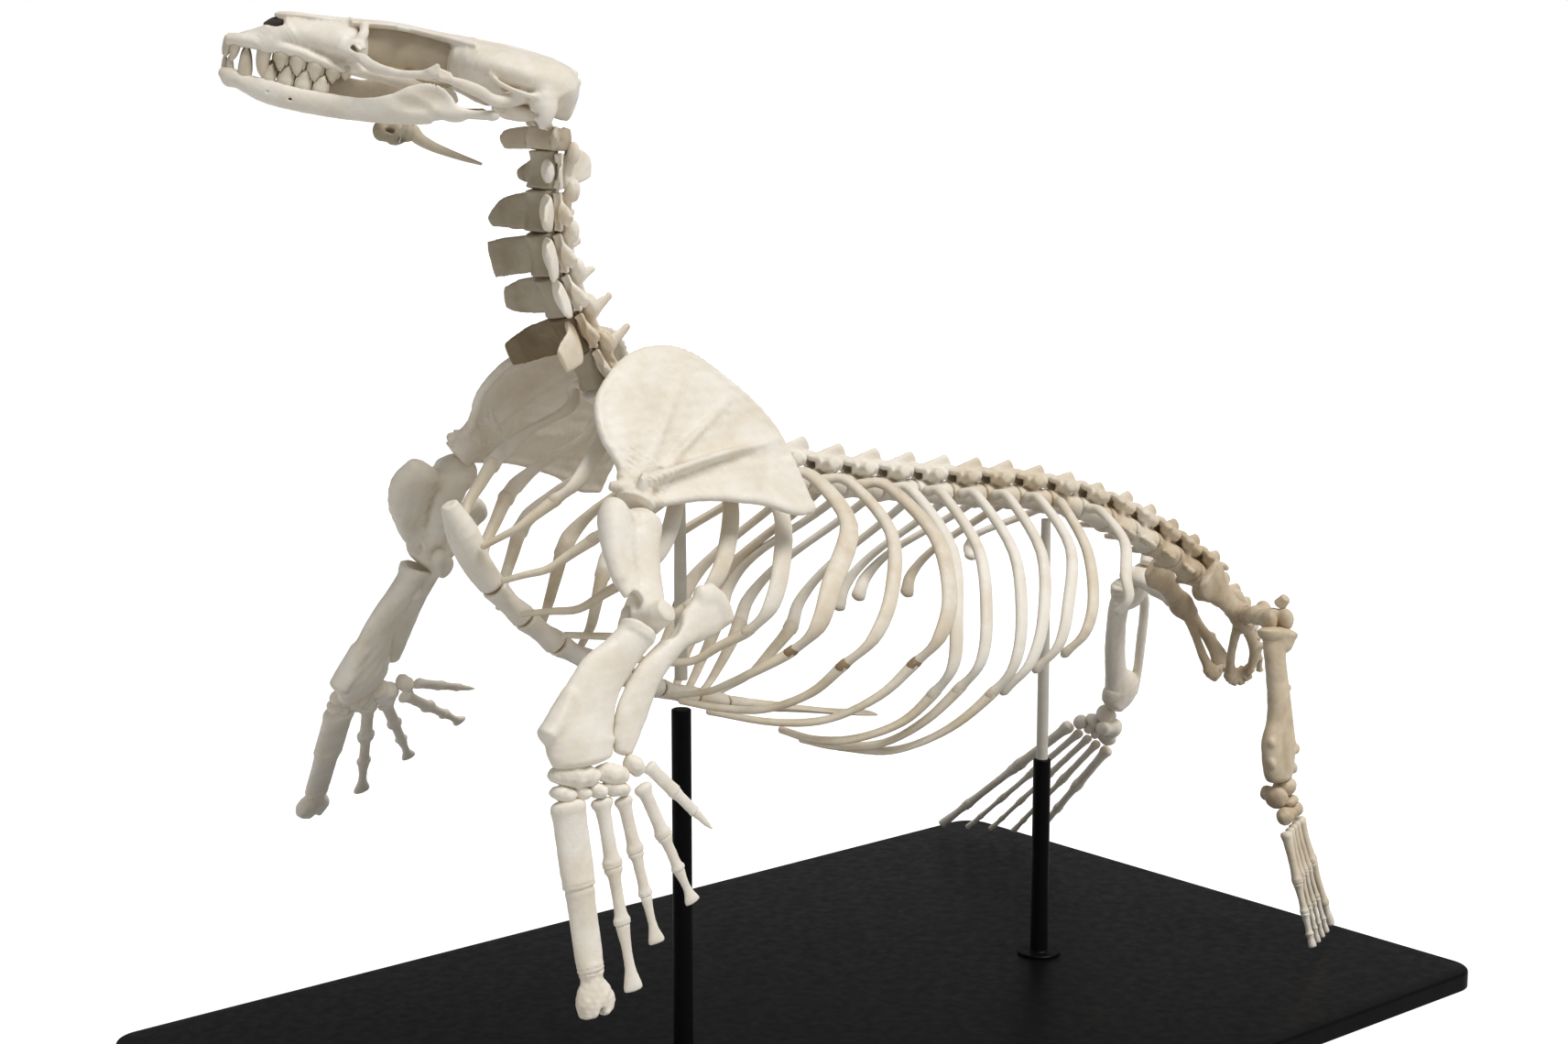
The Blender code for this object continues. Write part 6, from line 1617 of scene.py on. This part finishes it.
def foot_frame(side):
    """Axes to the toe tips, across the foot and through it."""
    joints = JOINTS[side]
    ankle, tip = np.array(joints["ankle"]), np.array(joints["toe"])
    along = unit(tip - ankle)
    ankle = ankle + along * FOOT_SHIFT[side]
    across = square_to((0.917, 0.398, 0.0) if side == "left" else (-0.685, 0.503, 0.524), along)
    return Frame(ankle, along, across, np.cross(along, across))


def add_foot(side, finish, slot):
    place = foot_frame(side)
    for name, row in zip(ANKLE_NAMES, ANKLE):
        bone = Bone(place, CELL * 0.8, 0.001, 0.0004)
        bone.ball(row[:3], row[3:])
        if name == "heel_bone":
            bone.tube(mm((9, -2, -7, 6, 5.6), (7, 4, -14.5, 5.6, 5.6)), ACROSS, 1, 0.003)
        add_bone(f"{name}_{side}", bone, finish, ["ankle_" + side], slot)
    for i, (across, half, angle) in enumerate(TOES):
        lean = math.radians(-angle)
        down = place.axes[0][2] * math.cos(lean) - place.axes[1][2] * math.sin(lean)
        reach = (BASE_HEIGHT + TOE_CLEARANCE - place.at(TOE_START, across, 0)[2]) / down
        bones = digit(TOE_START, across, reach - half, half, half * 0.85, -angle, TOE_JOINTS[i], 0.66,
                      "blunt")
        finishes = (WARM, WARM, PALE) if side == "left" else (PALE,)
        add_digit(f"toe_bone_{i + 1}_{side}", place, bones, finishes, [f"toe_{i + 1}_{side}"], slot)


# ---- The floor, the light and the camera ----


WHITE = (1, 1, 1, 1)
FLOOR_REACH = 30.0
FLOOR_GLOW = 0.55  # seen by the camera only, so that the floor is nearly white and still takes a shadow
SKY_LIGHT = 0.31
KEY_WAY = (-0.2, 0.5, -1.0)
KEY_STRENGTH = 2.45
KEY_ANGLE = math.radians(30)
CAMERA_PLACE = (-1.1832, -1.3235, 0.653)
CAMERA_DOWN = math.radians(9.6886)
CAMERA_TURN = math.radians(-41.0312)
CAMERA_LENS = 61.58


def add_floor():
    mesh = bpy.data.meshes.new("floor")
    far = FLOOR_REACH
    mesh.from_pydata([(-far, -far, 0), (far, -far, 0), (far, far, 0), (-far, far, 0)], [], [(0, 1, 2, 3)])
    mesh.update()
    made = Finish("studio_floor")
    tint = made.mix(made.span(made.noise(1.2, 2), 0.3, 0.7), (0.72, 0.72, 0.715, 1), (0.75, 0.75, 0.745, 1))
    path = made.tree.nodes.new("ShaderNodeLightPath")
    seen = made.math("MULTIPLY", path.outputs["Is Camera Ray"], FLOOR_GLOW)
    made.put(seen, made.shader.inputs["Emission Strength"])
    made.done(tint, 0.85, Emission_Color=WHITE)
    mesh.materials.append(made.material)
    floor = bpy.data.objects.new("floor", mesh)
    bpy.context.scene.collection.objects.link(floor)


def add_key_light():
    """A broad distant light from above."""
    light = bpy.data.lights.new("key", "SUN")
    light.angle = KEY_ANGLE
    light.energy = KEY_STRENGTH
    lamp = bpy.data.objects.new("key", light)
    lamp.rotation_euler = mathutils.Vector(KEY_WAY).to_track_quat("-Z", "Y").to_euler()
    bpy.context.scene.collection.objects.link(lamp)


def add_world():
    """A soft white surrounding that is pure white behind the piece."""
    world = bpy.data.worlds.new("studio")
    world.use_nodes = True
    tree = world.node_tree
    glow = tree.nodes["Background"]
    glow.inputs["Color"].default_value = WHITE
    glow.inputs["Strength"].default_value = SKY_LIGHT
    behind = tree.nodes.new("ShaderNodeBackground")
    behind.inputs["Color"].default_value = WHITE
    behind.inputs["Strength"].default_value = 1.0
    path = tree.nodes.new("ShaderNodeLightPath")
    choice = tree.nodes.new("ShaderNodeMixShader")
    tree.links.new(path.outputs["Is Camera Ray"], choice.inputs[0])
    tree.links.new(glow.outputs[0], choice.inputs[1])
    tree.links.new(behind.outputs[0], choice.inputs[2])
    tree.links.new(choice.outputs[0], tree.nodes["World Output"].inputs["Surface"])
    bpy.context.scene.world = world


def add_surroundings():
    add_floor()
    add_world()
    bpy.context.scene.view_settings.view_transform = "Standard"
    add_key_light()


def add_camera():
    camera = bpy.data.cameras.new("camera")
    camera.sensor_width = 36
    camera.lens = CAMERA_LENS
    camera.clip_end = 100
    view = bpy.data.objects.new("camera", camera)
    view.location = CAMERA_PLACE
    view.rotation_euler = (math.pi / 2 - CAMERA_DOWN, 0, CAMERA_TURN)
    bpy.context.scene.collection.objects.link(view)
    bpy.context.scene.camera = view


def main():
    add_base()
    add_rods()
    add_skull()
    add_orbit_walls()
    add_teeth()
    add_mandible()
    add_hyoid()
    spine = Spine()
    s = add_neck(spine)
    heads, s = add_thorax(spine, s)
    add_ribs(heads)
    add_sternum()
    s = add_lumbar(spine, s)
    s = add_sacrum(spine, s)
    add_tail(spine, s)
    for side in SIDES:
        finish, slot = (BROWN, "brown_bone") if side == "left" else (PALE, "pale_bone")
        add_scapula(side)
        add_humerus(side)
        add_forearm(side)
        add_hand(side)
        add_pelvis(side)
        add_hind_limb(side, finish, slot)
        add_foot(side, finish, slot)
    add_surroundings()
    add_camera()
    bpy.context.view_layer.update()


main()
